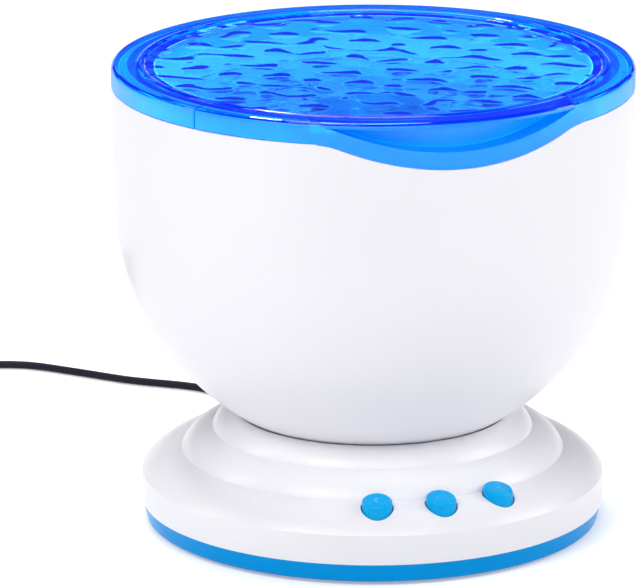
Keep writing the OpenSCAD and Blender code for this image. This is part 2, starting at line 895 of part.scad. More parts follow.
module pivot_nut() color(steel) {
    difference() {
        translate([0, 0, nut_low])
            cylinder(d = nut_flats / cos(30), h = nut_h, $fn = 6);
        post(post_r + 0.05, nut_low - 1, nut_low + nut_h + 1);
    }
}

module tilt_washer() color("ivory") {
    difference() {
        intersection() {
            post(dish_r, dish_low, bowl_c - dish_face_r + 2);
            translate([0, 0, bowl_c])
                sphere(r = dish_face_r + dish_t);
        }
        translate([0, 0, bowl_c])
            sphere(r = dish_face_r);
        post(post_r + 0.1, dish_low - 1, bowl_c);
    }
}

module spring_washer() color(steel) {
    sheet = 0.5;
    out_r = post_r + 2.4;
    in_r = post_r + 0.2;
    translate([0, 0, spring_low])
        rotate_extrude()
            polygon([[out_r, 0], [out_r, sheet], [in_r, spring_h - 0.05], [in_r, spring_h - 0.05 - sheet]]);
}

// Lamp: deck, motor and diodes
led_low = deck_top + led_spacer_h;
led_top = led_low + board_t;
led_screw_pitch = led_board_r - 4;
lead_r = 1.8;
lead_y = -led_board_bore - 9;
motor_boss_r = 4.5;
motor_gap = 0.3;
ear_r = 3.5;
ear_t = 1;

module at_motor_ears() {
    for (side = [-1, 1])
        translate([side * ear_pitch, motor_offset, 0])
            children();
}

module lamp_deck() color(button_blue) {
    difference() {
        union() {
            post(deck_r, deck_under, deck_top);
            for (a = led_screw_angles)
                at_angle(led_screw_pitch, a)
                    post(3, deck_top, led_low);
            at_motor_ears()
                post(ear_r, deck_top, deck_top + 1.5);
        }
        post(motor_boss_r + motor_gap, deck_under - 1, deck_top + 1);
        for (a = pillar_angles)
            at_angle(pillar_pitch_r, a)
                post(screw_clear_r, deck_under - 1, deck_top + 1);
        for (a = led_screw_angles)
            at_angle(led_screw_pitch, a)
                post(small_hole_r, deck_under - 1, led_low + 1);
        at_motor_ears()
            post(small_hole_r, deck_under - 1, deck_top + 3);
        translate([0, lead_y, 0])
            post(lead_r + 0.4, deck_under - 1, deck_top + 1);
    }
}

module deck_screws() color(steel) {
    for (a = pillar_angles)
        at_angle(pillar_pitch_r, a)
            translate([0, 0, deck_top])
                screw_down(screw_r, deck_screw_l, head_r, head_h);
}

module gear_motor() color("gainsboro") {
    shaft_depth = 7;
    difference() {
        union() {
            translate([0, motor_offset, 0])
                post(motor_r, deck_under - motor_h, deck_under);
            post(motor_boss_r, deck_under - 1, deck_top - 0.3);
            at_motor_ears()
                post(ear_r, deck_under - ear_t, deck_under);
            translate([-ear_pitch, motor_offset - ear_r, deck_under - ear_t])
                cube([2 * ear_pitch, 2 * ear_r, ear_t]);
        }
        post(shaft_r + shaft_gap, deck_under - shaft_depth, deck_top + 1);
        at_motor_ears()
            post(small_screw_r + 0.2, deck_under - ear_t - 1, deck_under + 1);
    }
}

module motor_screws() color(steel) {
    at_motor_ears()
        translate([0, 0, deck_under - ear_t])
            screw_up(small_screw_r, motor_screw_l, small_head_r, small_head_h);
}

module led_board() color("midnightblue") {
    difference() {
        ring(led_board_bore, led_board_r, led_low, led_top);
        for (a = led_screw_angles)
            at_angle(led_screw_pitch, a)
                post(small_screw_r + 0.2, led_low - 1, led_top + 1);
    }
}

module led_screws() color(steel) {
    for (a = led_screw_angles)
        at_angle(led_screw_pitch, a)
            translate([0, 0, led_top])
                screw_down(small_screw_r, led_screw_l, small_head_r, small_head_h);
}

module leds() color([0.85, 0.92, 1, 0.8]) {
    flange_r = led_r + 0.4;
    for (i = [0:led_count - 1])
        at_angle(led_pitch_r, 360 * (i + 0.5) / led_count) {
            post(flange_r, led_top, led_top + 1);
            post(led_r, led_top, led_top + led_h - led_r);
            translate([0, 0, led_top + led_h - led_r])
                sphere(r = led_r);
        }
}

// Leads of the lamp, from its board down through the pivot post
lead_path = [[0, lead_y, led_low], [0, lead_y, deck_under - 6], [0, lead_y + 1, 60], [0, lead_y + 5, 48],
    [0, lead_y + 11, 40], [0, -2, 34], [0, 0, 29], [0, 0, 20], [0, 0, head_top - head_t]];

module lamp_lead() color(dark_rubber) {
    tube(lead_path, lead_r, 8, [1, 0, 0]);
}

// Wave disc on the motor's shaft
disc_high = seat - disc_drop;
disc_low = disc_high - disc_t;
hub_flange_t = 1.6;
hub_low = disc_low - hub_flange_t - hub_l;
shaft_low = deck_under - 6.5;
shaft_high = disc_low - 2;
cap_stem_r = 3;
cap_stem_l = 1.5;
disc_r = rim_r - notch_depth - notch_wall - disc_gap;
disc_shift = 31;
disc_flat_r = 7;

module d_section(grow) {
    difference() {
        circle(r = shaft_r + grow);
        translate([shaft_r - shaft_flat + grow, -2 * shaft_r])
            square(4 * shaft_r);
    }
}

module drive_shaft() color(steel) {
    union() {
        post(shaft_r, shaft_low, hub_low - 1);
        translate([0, 0, hub_low - 1])
            linear_extrude(shaft_high - hub_low + 1)
                d_section(0);
    }
}

module disc_hub() color(white_abs) {
    difference() {
        union() {
            post(hub_r, hub_low, disc_low);
            post(hub_flange_r, disc_low - hub_flange_t, disc_low);
        }
        translate([0, 0, hub_low - 1])
            linear_extrude(shaft_high - hub_low + 1.2)
                d_section(shaft_gap);
        post(cap_stem_r + 0.05, disc_low - cap_stem_l - 0.1, disc_low + 1);
    }
}

module wave_disc() color([0.9, 0.96, 1, 0.5]) {
    difference() {
        waved_plate(disc_r, disc_low, disc_high, 15, 60, disc_wave_h, disc_shift, disc_flat_r);
        post(cap_stem_r + 0.1, disc_low - 1, disc_high + 2);
    }
}

module disc_cap() color(white_abs) {
    cap_r = 6;
    cap_low = disc_high + 0.1;
    union() {
        post(cap_stem_r, disc_low - cap_stem_l, cap_low + 0.5);
        translate([0, 0, cap_low])
            rotate_extrude()
                polygon([[0, 0], [cap_r, 0], [cap_r, 0.8], [cap_r - 0.6, 1.4], [0, 1.4]]);
    }
}

// Lid: rim with its band, lobe and finger notch, and the wave lens
lid_top = seat + lid_h;
lid_under = lid_top - lid_plate_t;
spigot_r = rim_r - bowl_wall - spigot_gap;
spigot_in_r = rim_r - lid_wall;
notch_r = rim_r - notch_depth;
lens_r = rim_r - lens_inset;
lens_sink = 0.3;
lens_low = lid_top - lens_sink - lens_t;
lens_bore = lens_r + lens_gap;
ledge_t = 1.2;
rib_out_r = lens_bore + 0.2 + rib_w;
rib_swell = 0.3;
groove_w = 0.5;
groove_h = 0.5;

module lid_section() {
    polygon(concat(
        [[spigot_in_r, seat - spigot_h], [spigot_r, seat - spigot_h], [spigot_r, seat],
            [rim_r - band_break, seat], [rim_r, seat + band_break]],
        arc_about([rim_r - lid_round, lid_top - lid_round], lid_round, 0, 90, 6),
        [[rib_out_r + groove_w, lid_top], [rib_out_r + groove_w / 2, lid_top - groove_h]],
        arc_between([rib_out_r, lid_top], [rib_out_r - rib_w, lid_top], rib_swell, 8),
        [[lens_bore, lid_top - 0.2], [lens_bore, lens_low], [lens_bore - lens_ledge, lens_low],
            [lens_bore - lens_ledge, lens_low - ledge_t], [notch_r, lens_low - ledge_t], [notch_r, lid_under],
            [spigot_in_r, lid_under]]));
}

module lid_rim() color(clear_blue) {
    lobe_low = seat - lobe_drop;
    difference() {
        union() {
            rotate_extrude()
                lid_section();
            intersection() {
                ring(notch_r - notch_wall, rim_r, lobe_low - 1, lid_under + 0.1);
                lobe_prism(0, lid_under + 0.1);
            }
        }
        intersection() {
            ring(notch_r, rim_r + 5, lobe_low - 1, lid_under);
            lobe_prism(lip_h, lid_top + 3);
        }
        for (side = [-1, 1])
            rotate([0, 0, side * slit_angle]) {
                translate([-slit_w / 2, -rim_r - 1, seat - 1])
                    cube([slit_w, 2, lid_h + 2]);
                translate([-slit_w / 2, -rim_r - 1, lid_top - slit_w])
                    cube([slit_w, slit_groove_l + 1, slit_w + 1]);
            }
    }
}

module wave_lens() color(clear_blue) {
    waved_plate(lens_r, lens_low + lens_t, lens_low, 20, 84, wave_h, 0, -fade_w);
}

// Cord: strain relief, free stretch, put-away coil, tail and plug
cord_r = cord_d / 2;
cord_sides = 8;
gland_tip = base_r + gland_l;
gland_tip_r = cord_r + 0.6;

// The coil lies on its tie, past where the cord leaves the front view; its turns run clockwise from above
coil_gate = [-80, 89.7];
coil_angle = 254;
coil_heading = [sin(coil_angle), -cos(coil_angle), 0];
coil_out_r = coil_in_r + coil_turns * coil_pitch;
coil_middle = [0, gland_tip] + coil_gate - on_circle(coil_out_r, coil_angle);
coil_step = coil_pitch;
coil_rings = 24;
coil_sides = 6;
tie_t = 0.4;
tie_gap = 0.3;
tie_w = 4;
coil_low = cord_r + tie_t + tie_gap;
coil_high = coil_low + coil_step * (coil_layers - 1);
function ease(x) = let (c = max(0, min(1, x))) c * c * (3 - 2 * c);
// Radius after t turns: in and out again at a steady rate
function coil_radius(t) =
    let (part = t - 2 * coil_turns * floor(t / (2 * coil_turns)))
    coil_out_r - coil_pitch * min(part, 2 * coil_turns - part);
// Height after t turns: a layer up in the half turn about each reversal
function coil_rise(t) =
    coil_low + coil_step * sum([for (k = [1:coil_layers - 1]) ease(2 * (t - k * coil_turns) + 0.5)]);
function coil_point(t) =
    let (p = coil_middle + on_circle(coil_radius(t), coil_angle - 360 * t))
    [p[0], p[1], coil_rise(t)];
coil_spiral = [for (i = [0:coil_turns * coil_layers * coil_rings]) coil_point(i / coil_rings)];
coil_entry = coil_spiral[0] - cord_d * coil_heading;
coil_leave = coil_spiral[len(coil_spiral) - 1] + cord_d * coil_heading;
coil_path = concat([coil_entry], coil_spiral, [coil_leave]);

// Route of the free stretch: plan places from the strain relief's tip, heights from the table
run_points = [[0, 2.8, 7.8], [0, 6.8, 7.2], [-0.2, 10.8, 5.8], [-0.5, 14.8, 4.2], [-1, 18.8, 2.7],
    [-1.6, 22.8, 1.6], [-2.4, 26.8, 1.05], [-3.4, 31.8, 1], [-4.9, 36.8, 1], [-7.2, 41.6, 1],
    [-10.8, 45.8, 1], [-15.2, 49.4, 1], [-20, 53, 1], [-24.8, 57, 1], [-29.2, 61.6, 1],
    [-33.4, 66.2, 1], [-37.5, 70.6, 1], [-41.5, 74.8, 1], [-45.2, 78.1, 1], [-49.2, 80.4, 1],
    [-53.8, 82.1, 1], [-59, 83.6, 1], [-65, 85.3, 1], [-71, 87, 1.3]];
run_path = concat(
    [[0, gland_tip, up(gland_h)]],
    [for (p = run_points) p + [0, gland_tip, 0]],
    [coil_entry]);

// Route of the tail: plan places from the same tip, then the share of the fall from the coil to the plug left
plug_h = 7.5;
plug_start = [-110, gland_tip + 98.3, plug_h / 2];
tail_points = [[-86, 91.4, 0.95], [-90, 92.6, 0.78], [-94, 93.7, 0.54], [-98, 94.9, 0.28], [-102, 96, 0.1],
    [-106, 97.2, 0.02]];
tail_path = concat(
    [coil_leave],
    [for (p = tail_points) [p[0], p[1] + gland_tip, plug_start[2] + p[2] * (coil_high - plug_start[2])]],
    [plug_start]);
function path_length(path) = sum([for (i = [1:len(path) - 1]) norm(path[i] - path[i - 1])]);
function least_gap(path, apart) =
    let (last = len(path) - 1)
    min([for (i = [0:last - apart], k = [i + apart:last]) norm(path[k] - path[i])]) - cord_d;

module cord_gland() color(dark_rubber) {
    back = inner_r - gland_seat_gap - gland_flange_t;
    front = inner_r - gland_seat_gap;
    collar_t = 1.6;
    grooves = 4;
    groove = 0.5;
    first = base_r + collar_t + 1.5;
    step = (gland_tip - first - 1.5) / grooves;
    slope = (gland_neck_r - gland_tip_r) / (gland_tip - base_r - collar_t);
    taper = [for (i = [0:grooves - 1], k = [0, 1, 2, 3])
        let (s = first + step * (i + [0, 0, 0.45, 0.45][k]))
        [gland_neck_r - slope * (s - base_r - collar_t) - [0, groove, groove, 0][k], s]];
    along_cord_exit()
        rotate_extrude()
            polygon(concat(
                [[0, back], [gland_flange_r, back], [gland_flange_r, front], [gland_neck_r, front],
                    [gland_neck_r, base_r + 0.05], [gland_flange_r - 0.4, base_r + 0.05],
                    [gland_flange_r - 0.4, base_r + collar_t - 0.4], [gland_neck_r, base_r + collar_t]],
                taper,
                [[gland_tip_r, gland_tip], [0, gland_tip]]));
}

module cord_run() color(dark_rubber) {
    tube(run_path, cord_r, cord_sides, [0, 0, 1]);
}

module cord_coil() color(dark_rubber) {
    echo(coil_gap = least_gap(coil_path, coil_rings / 2));
    echo(cord_length = path_length(run_path) + path_length(coil_path) + path_length(tail_path));
    tube(coil_path, cord_r, coil_sides, [0, 0, 1]);
}

module cord_tail() color(dark_rubber) {
    tube(tail_path, cord_r, cord_sides, [0, 0, 1]);
}

// A band round the turns, on the side away from the coil's ends
module cord_tie() color([0.2, 0.2, 0.22]) {
    low_r = coil_in_r + coil_pitch / 2 - cord_r - 0.5;
    high_r = coil_out_r - coil_pitch / 2 + cord_r + 0.3;
    top = coil_high + cord_r + tie_gap;
    translate([coil_middle[0], coil_middle[1], 0])
        rotate([0, 0, coil_angle + 180])
            rotate([90, 0, 0])
                translate([0, 0, -tie_w / 2])
                    linear_extrude(tie_w)
                        difference() {
                            translate([low_r - tie_t, 0])
                                square([high_r - low_r + 2 * tie_t, top + tie_t]);
                            translate([low_r, tie_t])
                                square([high_r - low_r, top - tie_t]);
                        }
}

// Plug: moulded grip with its own short relief, metal shell and tongue
plug_w = 15;
plug_l = 22;
plug_relief_l = 8;
shell_w = 12;
shell_h = 4.5;
shell_l = 12;
shell_t = 0.4;

module along_plug() {
    translate(plug_start)
        rotate([0, 0, coil_angle - 90])
            children();
}

module plug_block(x, length, w, h, corner) {
    translate([x, 0, 0])
        rotate([90, 0, 90])
            linear_extrude(length)
                union() {
                    square([w - 2 * corner, h], center = true);
                    square([w, h - 2 * corner], center = true);
                    for (sx = [-1, 1], sy = [-1, 1])
                        translate([sx * (w / 2 - corner), sy * (h / 2 - corner)])
                            circle(r = corner);
                }
}

module usb_plug_body() color(dark_rubber) {
    tongue_t = 1.7;
    along_plug()
        union() {
            rotate([0, 90, 0])
                cylinder(r1 = cord_r + 0.6, r2 = plug_h / 2 - 0.8, h = plug_relief_l);
            plug_block(plug_relief_l, plug_l, plug_w, plug_h, 2);
            translate([plug_relief_l + plug_l - 1, -shell_w / 2 + 0.6, -tongue_t])
                cube([shell_l, shell_w - 1.2, tongue_t]);
        }
}

module usb_plug_shell() color(steel) {
    first = plug_relief_l + plug_l;
    window = 2.2;
    along_plug()
        difference() {
            translate([first, -shell_w / 2, -shell_h / 2])
                cube([shell_l, shell_w, shell_h]);
            translate([first - 1, -shell_w / 2 + shell_t, -shell_h / 2 + shell_t])
                cube([shell_l + 2, shell_w - 2 * shell_t, shell_h - 2 * shell_t]);
            for (side = [-1, 1])
                translate([first + shell_l * 0.45, side * shell_w / 4 - window / 2, 0])
                    cube([window, window, shell_h]);
        }
}

base_housing();
base_plate();
rubber_feet();
base_screws();
speaker_frame();
speaker_magnet();
speaker_cone();
speaker_gasket();
speaker_screws();
main_board();
main_board_screws();
sound_chip();
capacitors();
lead_sockets();
key_board();
key_board_screws();
tact_switches();
button_left();
button_middle();
button_right();
plunger_left();
plunger_middle();
plunger_right();
bowl_shell();
pivot_post();
pivot_nut();
tilt_washer();
spring_washer();
lamp_deck();
deck_screws();
gear_motor();
motor_screws();
led_board();
led_screws();
leds();
lamp_lead();
drive_shaft();
disc_hub();
wave_disc();
disc_cap();
lid_rim();
wave_lens();
cord_gland();
cord_run();
cord_coil();
cord_tail();
cord_tie();
usb_plug_body();
usb_plug_shell();
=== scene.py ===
"""Looks of the wave projector: a white bowl in a tiered base, under a clear blue wave lid.

Metres, +Z up, front towards -Y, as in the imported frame.
"""
import logging
import math
from dataclasses import dataclass, field, replace
from enum import Enum
from typing import Any, Iterable, Protocol, Sequence

import bmesh
import bpy
from mathutils import Matrix, Vector


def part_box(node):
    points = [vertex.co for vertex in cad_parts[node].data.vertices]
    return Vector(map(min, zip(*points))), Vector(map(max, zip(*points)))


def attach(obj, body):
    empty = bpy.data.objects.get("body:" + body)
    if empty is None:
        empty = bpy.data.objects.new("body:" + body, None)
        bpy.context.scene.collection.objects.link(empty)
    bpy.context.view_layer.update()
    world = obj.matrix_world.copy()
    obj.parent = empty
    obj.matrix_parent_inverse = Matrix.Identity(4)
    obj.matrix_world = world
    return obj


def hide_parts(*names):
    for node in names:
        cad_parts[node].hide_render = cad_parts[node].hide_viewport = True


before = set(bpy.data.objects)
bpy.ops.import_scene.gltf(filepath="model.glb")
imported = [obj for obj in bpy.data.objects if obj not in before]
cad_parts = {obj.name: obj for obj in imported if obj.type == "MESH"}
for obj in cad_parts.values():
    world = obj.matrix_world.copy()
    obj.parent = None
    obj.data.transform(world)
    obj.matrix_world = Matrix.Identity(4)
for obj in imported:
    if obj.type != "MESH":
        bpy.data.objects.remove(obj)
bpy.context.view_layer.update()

LOG = logging.getLogger("wave_projector")
MM = 0.001
# Points closer than this are welded into one, and seams up to this width are closed
WELD = 0.0001 * MM
SEAM = 0.001 * MM
# Edges sharper than this stay sharp under smooth shading
CREASE = math.radians(40)
# Middle part of a noise texture's range, which holds nearly all its values
NOISE_RANGE = (0.3, 0.7)
# Share of a relief's height that shows
RELIEF_SHARE = 0.5

Colour = tuple[float, float, float, float]
Point = tuple[float, float, float]
Tree = bpy.types.NodeTree
Node = bpy.types.Node
Socket = bpy.types.NodeSocket
Material = bpy.types.Material
Mesh = bpy.types.Mesh
Piece = bpy.types.Object
# What an input can be linked to: a socket, or a node for its first output
Source = Node | Socket

# Blender's names for the kinds of node used most
MATH, MIX, RANGE = "ShaderNodeMath", "ShaderNodeMix", "ShaderNodeMapRange"
NOISE, COORDS, BUMP = "ShaderNodeTexNoise", "ShaderNodeTexCoord", "ShaderNodeBump"
VECTOR_MATH, SPLIT, COMBINE = "ShaderNodeVectorMath", "ShaderNodeSeparateXYZ", "ShaderNodeCombineXYZ"
PRINCIPLED, SET_MATERIAL = "ShaderNodeBsdfPrincipled", "GeometryNodeSetMaterial"


class Body(Enum):
    """Bodies that pieces ride on."""

    BASE = "base"
    BOWL = "bowl"
    DISC = "disc"
    LID = "lid"
    LEFT_BUTTON = "left_button"
    MIDDLE_BUTTON = "middle_button"
    RIGHT_BUTTON = "right_button"


class Side(Enum):
    """Sides of a limit, as a node names the test for them."""

    ABOVE = "GREATER_THAN"
    BELOW = "LESS_THAN"


class Coat(Protocol):
    """Any finish: it can build its own material."""

    def material(self) -> Material:
        """Builds the finish as a node material."""


def linear(hex_colour: str) -> Colour:
    """Turns an sRGB hex colour into linear light.

    Args:
        hex_colour: Six hex digits after a hash.

    Returns:
        Linear red, green, blue and an alpha of 1.
    """
    parts = [int(hex_colour[i:i + 2], 16) / 255 for i in (1, 3, 5)]
    red, green, blue = (p / 12.92 if p <= 0.04045 else ((p + 0.055) / 1.055) ** 2.4 for p in parts)
    return red, green, blue, 1.0


def add_node(tree: Tree, kind: str, inputs: dict[str | int, Any] | None = None, **settings: Any) -> Node:
    """Adds a node, sets its properties and fills its inputs.

    Args:
        tree: Tree that gets the node.
        kind: Blender's name for the node type.
        inputs: Inputs by name or place; a socket or a node's first output is linked, anything else is set.
        settings: Properties of the node itself.

    Returns:
        The new node.
    """
    node = tree.nodes.new(kind)
    for name, value in settings.items():
        setattr(node, name, value)
    for key, value in (inputs or {}).items():
        source = value.outputs[0] if isinstance(value, Node) else value
        if isinstance(source, Socket):
            tree.links.new(source, node.inputs[key])
        else:
            node.inputs[key].default_value = source
    return node


def per_metre(size_mm: float) -> float:
    """Texture scale at which one feature of a pattern is about this many millimetres wide."""
    return 1.0 / (size_mm * MM)


def new_material(name: str) -> tuple[Material, Tree, Socket]:
    """Starts a node material with nothing but its output.

    Args:
        name: Name of the material.

    Returns:
        The material, its tree and the output's surface socket.
    """
    material = bpy.data.materials.new(name)
    material.use_nodes = True
    tree = material.node_tree
    tree.nodes.clear()
    return material, tree, add_node(tree, "ShaderNodeOutputMaterial").inputs["Surface"]


def mask(tree: Tree, *tests: tuple[Source, Side, float]) -> Source:
    """Marks the stretch of a surface where every test holds.

    Args:
        tree: Tree of a material.
        tests: What is measured, the side of the limit where it has to lie and that limit.

    Returns:
        What is 1 on that stretch and 0 elsewhere.
    """
    share: Any = 1.0
    for measure, side, limit in tests:
        held = add_node(tree, MATH, {0: measure, 1: limit}, operation=side.value)
        share = add_node(tree, MATH, {0: share, 1: held}, operation="MULTIPLY")
    return share


def axis_place(tree: Tree, place: Socket) -> tuple[Socket, Socket]:
    """Finds how far a point of the surface is from the upright axis and how high it is.

    Args:
        tree: Tree of a material.
        place: Its object coordinates.

    Returns:
        Sockets of the distance and of the height.
    """
    flat = add_node(tree, VECTOR_MATH, {0: place, 1: (1.0, 1.0, 0.0)}, operation="MULTIPLY")
    reach = add_node(tree, VECTOR_MATH, {0: flat}, operation="LENGTH")
    return reach.outputs["Value"], add_node(tree, SPLIT, {0: place}).outputs[2]


@dataclass(frozen=True)
class Finish:
    """An opaque finish with uneven colour, uneven gloss, a fine relief and, where asked, a painted glow on an
    inner wall.

    Attributes:
        name: Name of the real material and how its surface was made.
        colour: Main sRGB colour.
        shade: sRGB colour that it drifts towards.
        drift_mm: Size of the patches of drifting colour and gloss.
        grain_mm: Size of the grain in the relief.
        relief_mm: Height of that grain.
        gloss: Lowest and highest roughness.
        stretch: Stretch of the grain along each axis.
        metallic: Share of metal.
        ior: Index of refraction; metals keep the default.
        shine: Strength of the surface reflection, 0.5 for a clean surface.
        lit: Strength of a painted glow on the inside of a wall, which stands in for the lamp's light that the
            wall throws back, or 0.
        painted_glow_colour: sRGB colour of that painted glow.
        painted_glow_zone: Distance from the axis within which, and height above which, a wall has that
            painted glow.
    """

    name: str
    colour: str
    shade: str
    drift_mm: float
    grain_mm: float
    relief_mm: float
    gloss: tuple[float, float]
    stretch: Point = (1.0, 1.0, 1.0)
    metallic: float = 0.0
    ior: float = 1.5
    shine: float = 0.5
    lit: float = 0.0
    painted_glow_colour: str = "#A0E4FF"
    painted_glow_zone: tuple[float, float] = (62.3 * MM, 85.2 * MM)

    def material(self) -> Material:
        """Builds the finish as a node material.

        Returns:
            The new material.
        """
        material, tree, surface = new_material(self.name)
        place = add_node(tree, COORDS).outputs["Object"]
        pulled = add_node(tree, "ShaderNodeMapping", {"Vector": place, "Scale": self.stretch})
        drift = add_node(tree, NOISE, {"Vector": place, "Scale": per_metre(self.drift_mm), "Detail": 3.0,
                                       "Roughness": 0.55})
        grain = add_node(tree, NOISE, {"Vector": pulled, "Scale": per_metre(self.grain_mm), "Detail": 2.0})
        tone = add_node(tree, MIX, {0: drift, 6: linear(self.colour), 7: linear(self.shade)},
                        data_type="RGBA").outputs[2]
        gloss = add_node(tree, RANGE, {"Value": drift, "From Min": NOISE_RANGE[0], "From Max": NOISE_RANGE[1],
                                       "To Min": self.gloss[0], "To Max": self.gloss[1]})
        relief = add_node(tree, BUMP, {"Strength": RELIEF_SHARE, "Distance": self.relief_mm * MM,
                                       "Height": grain})
        shader = add_node(tree, PRINCIPLED, {
            "Base Color": tone, "Roughness": gloss, "Normal": relief, "Metallic": self.metallic,
            "IOR": self.ior, "Specular IOR Level": self.shine})
        # Painted glow: the inner wall gives off light of its own, standing in for the lamp's light that it
        # throws back
        if self.lit:
            reach, height = axis_place(tree, place)
            inside = mask(tree, (reach, Side.BELOW, self.painted_glow_zone[0]), (height, Side.ABOVE, self.painted_glow_zone[1]))
            light = add_node(tree, MATH, {0: inside, 1: self.lit}, operation="MULTIPLY")
            shader.inputs["Emission Color"].default_value = linear(self.painted_glow_colour)
            tree.links.new(light.outputs[0], shader.inputs["Emission Strength"])
        tree.links.new(shader.outputs[0], surface)
        return material


@dataclass(frozen=True)
class ClearFinish:
    """A clear moulded plastic that colours what is seen through it and lets light reach what it covers.

    Attributes:
        name: Name of the real material and how its surface was made.
        tint: sRGB colour of white seen through one wall.
        deep: sRGB colour of white seen through a denser streak of the same wall.
        streak_mm: Width of the flow streaks.
        haze: Lowest and highest roughness.
        glow: sRGB colour of a painted glow that the plastic gives off, which lifts its darker parts to deep
            blue.
        painted_glow_strength: Strength of that painted glow.
        thin_tint: sRGB colour of white seen through the thin walls under the top plate.
        thin_zone: Distance from the axis past which, and height below which, a wall is thin.
        ledge_zone: Nearest and farthest distance from the axis, lowest and highest point of the lens's ledge.
        ledge_painted_glow: Strength of the painted glow on the ledge, which stands in for light that it
            passes on.
        ledge_painted_glow_colour: sRGB colour of that painted glow.
        side_tint: sRGB colour of satin sides: the upright outer ones and the finger notch.
        satin: Roughness of those sides; 0 leaves every side polished.
        satin_beyond: Distance from the axis past which a side is an outer one.
        upright: Rise of a face's normal below which it counts as upright.
        notch_zone: Place along Y before which, reach past which and height below which the notch lies.
        notch_painted_light_tint: sRGB colour of the notch's back wall, paler for its thin wall and, as
            painted light, to lift the shade under the top plate.
        notch_wall: Distance from the axis within which the notch is that wall.
        milk: Share of light that those sides spread instead of letting it through.
        ior: Index of refraction.
    """

    name: str
    tint: str
    deep: str
    streak_mm: float
    haze: tuple[float, float]
    glow: str = "#000000"
    painted_glow_strength: float = 0.0
    thin_tint: str = "#FFFFFF"
    thin_zone: tuple[float, float] = (58.3 * MM, 114.3 * MM)
    ledge_zone: tuple[float, float, float, float] = (53.0 * MM, 53.6 * MM, 111.9 * MM, 113.5 * MM)
    ledge_painted_glow: float = 0.0
    ledge_painted_glow_colour: str = "#CFF6FF"
    side_tint: str = "#FFFFFF"
    satin: float = 0.0
    satin_beyond: float = 63.0 * MM
    upright: float = 0.4
    notch_zone: Point = (-47.0 * MM, 57.5 * MM, 114.4 * MM)
    notch_painted_light_tint: str = "#FFFFFF"
    notch_wall: float = 58.6 * MM
    milk: float = 0.0
    ior: float = 1.49

    def zones(self, tree: Tree, coords: Node) -> tuple[Source, ...]:
        """Marks the thin walls, the lens's ledge, the satin sides and the notch's back wall.

        Args:
            tree: Tree of the material.
            coords: Its texture coordinates.

        Returns:
            Masks of these four, in that order.
        """
        reach, height = axis_place(tree, coords.outputs["Object"])
        depth = add_node(tree, SPLIT, {0: coords.outputs["Object"]}).outputs[1]
        rise = add_node(tree, SPLIT, {0: coords.outputs["Normal"]}).outputs[2]
        slope = add_node(tree, MATH, {0: rise}, operation="ABSOLUTE")
        near, far, low, high = self.ledge_zone
        front, past, under = self.notch_zone
        in_notch = ((depth, Side.BELOW, front), (reach, Side.ABOVE, past), (height, Side.BELOW, under))
        thin = mask(tree, (reach, Side.ABOVE, self.thin_zone[0]), (height, Side.BELOW, self.thin_zone[1]))
        ledge = mask(tree, (reach, Side.ABOVE, near), (reach, Side.BELOW, far), (height, Side.ABOVE, low),
                     (height, Side.BELOW, high), (depth, Side.ABOVE, front))
        outer = mask(tree, (slope, Side.BELOW, self.upright), (reach, Side.ABOVE, self.satin_beyond))
        satin = add_node(tree, MATH, {0: outer, 1: mask(tree, *in_notch)}, operation="MAXIMUM")
        return thin, ledge, satin, mask(tree, *in_notch, (reach, Side.BELOW, self.notch_wall))

    def material(self) -> Material:
        """Builds the finish as a node material.

        Returns:
            The new material.
        """
        material, tree, surface = new_material(self.name)
        coords = add_node(tree, COORDS)
        streak = add_node(tree, NOISE, {
            "Vector": coords.outputs["Object"], "Scale": per_metre(self.streak_mm), "Detail": 1.0,
            "Distortion": 0.6})
        tint = add_node(tree, MIX, {0: streak, 6: linear(self.tint), 7: linear(self.deep)},
                        data_type="RGBA").outputs[2]
        haze = add_node(tree, RANGE, {"Value": streak, "To Min": self.haze[0], "To Max": self.haze[1]})
        clearness: Any = 1.0
        # Painted glow: the plastic gives off faint light of its own, which lifts its darker parts to blue
        glow: Any = linear(self.glow)
        strength: Any = self.painted_glow_strength
        if self.satin:
            thin, ledge, side, wall = self.zones(tree, coords)
            # The ledge gets a stronger, paler painted glow
            glow = add_node(tree, MIX, {0: ledge, 6: glow, 7: linear(self.ledge_painted_glow_colour)},
                            data_type="RGBA").outputs[2]
            strength = add_node(tree, RANGE, {"Value": ledge, "To Min": strength, "To Max": self.ledge_painted_glow})
            pale = add_node(tree, MATH, {0: thin, 1: ledge}, operation="MAXIMUM")
            # The notch's back wall takes a paler tint, partly painted light that lifts the shade under the
            # top plate
            for zone, colour in ((pale, self.thin_tint), (side, self.side_tint), (wall, self.notch_painted_light_tint)):
                tint = add_node(tree, MIX, {0: zone, 6: tint, 7: linear(colour)}, data_type="RGBA").outputs[2]
            haze = add_node(tree, MIX, {0: side, 2: haze, 3: self.satin})
            # Milk spreads the light that meets a side from outside, and not the light already in the plastic
            within = add_node(tree, "ShaderNodeNewGeometry").outputs["Backfacing"]
            outside = add_node(tree, MATH, {0: side, 1: within}, operation="SUBTRACT", use_clamp=True)
            clearness = add_node(tree, RANGE, {"Value": outside, "To Min": 1.0, "To Max": 1.0 - self.milk})
        shader = add_node(tree, PRINCIPLED, {
            "Base Color": tint, "Roughness": haze, "IOR": self.ior, "Transmission Weight": clearness,
            "Emission Color": glow, "Emission Strength": strength})
        clear = add_node(tree, "ShaderNodeBsdfTransparent", {"Color": tint})
        path = add_node(tree, "ShaderNodeLightPath").outputs
        lit = add_node(tree, MATH, {0: path["Is Shadow Ray"], 1: path["Is Diffuse Ray"]}, operation="MAXIMUM")
        both = add_node(tree, "ShaderNodeMixShader", {0: lit, 1: shader, 2: clear})
        tree.links.new(both.outputs[0], surface)
        return material


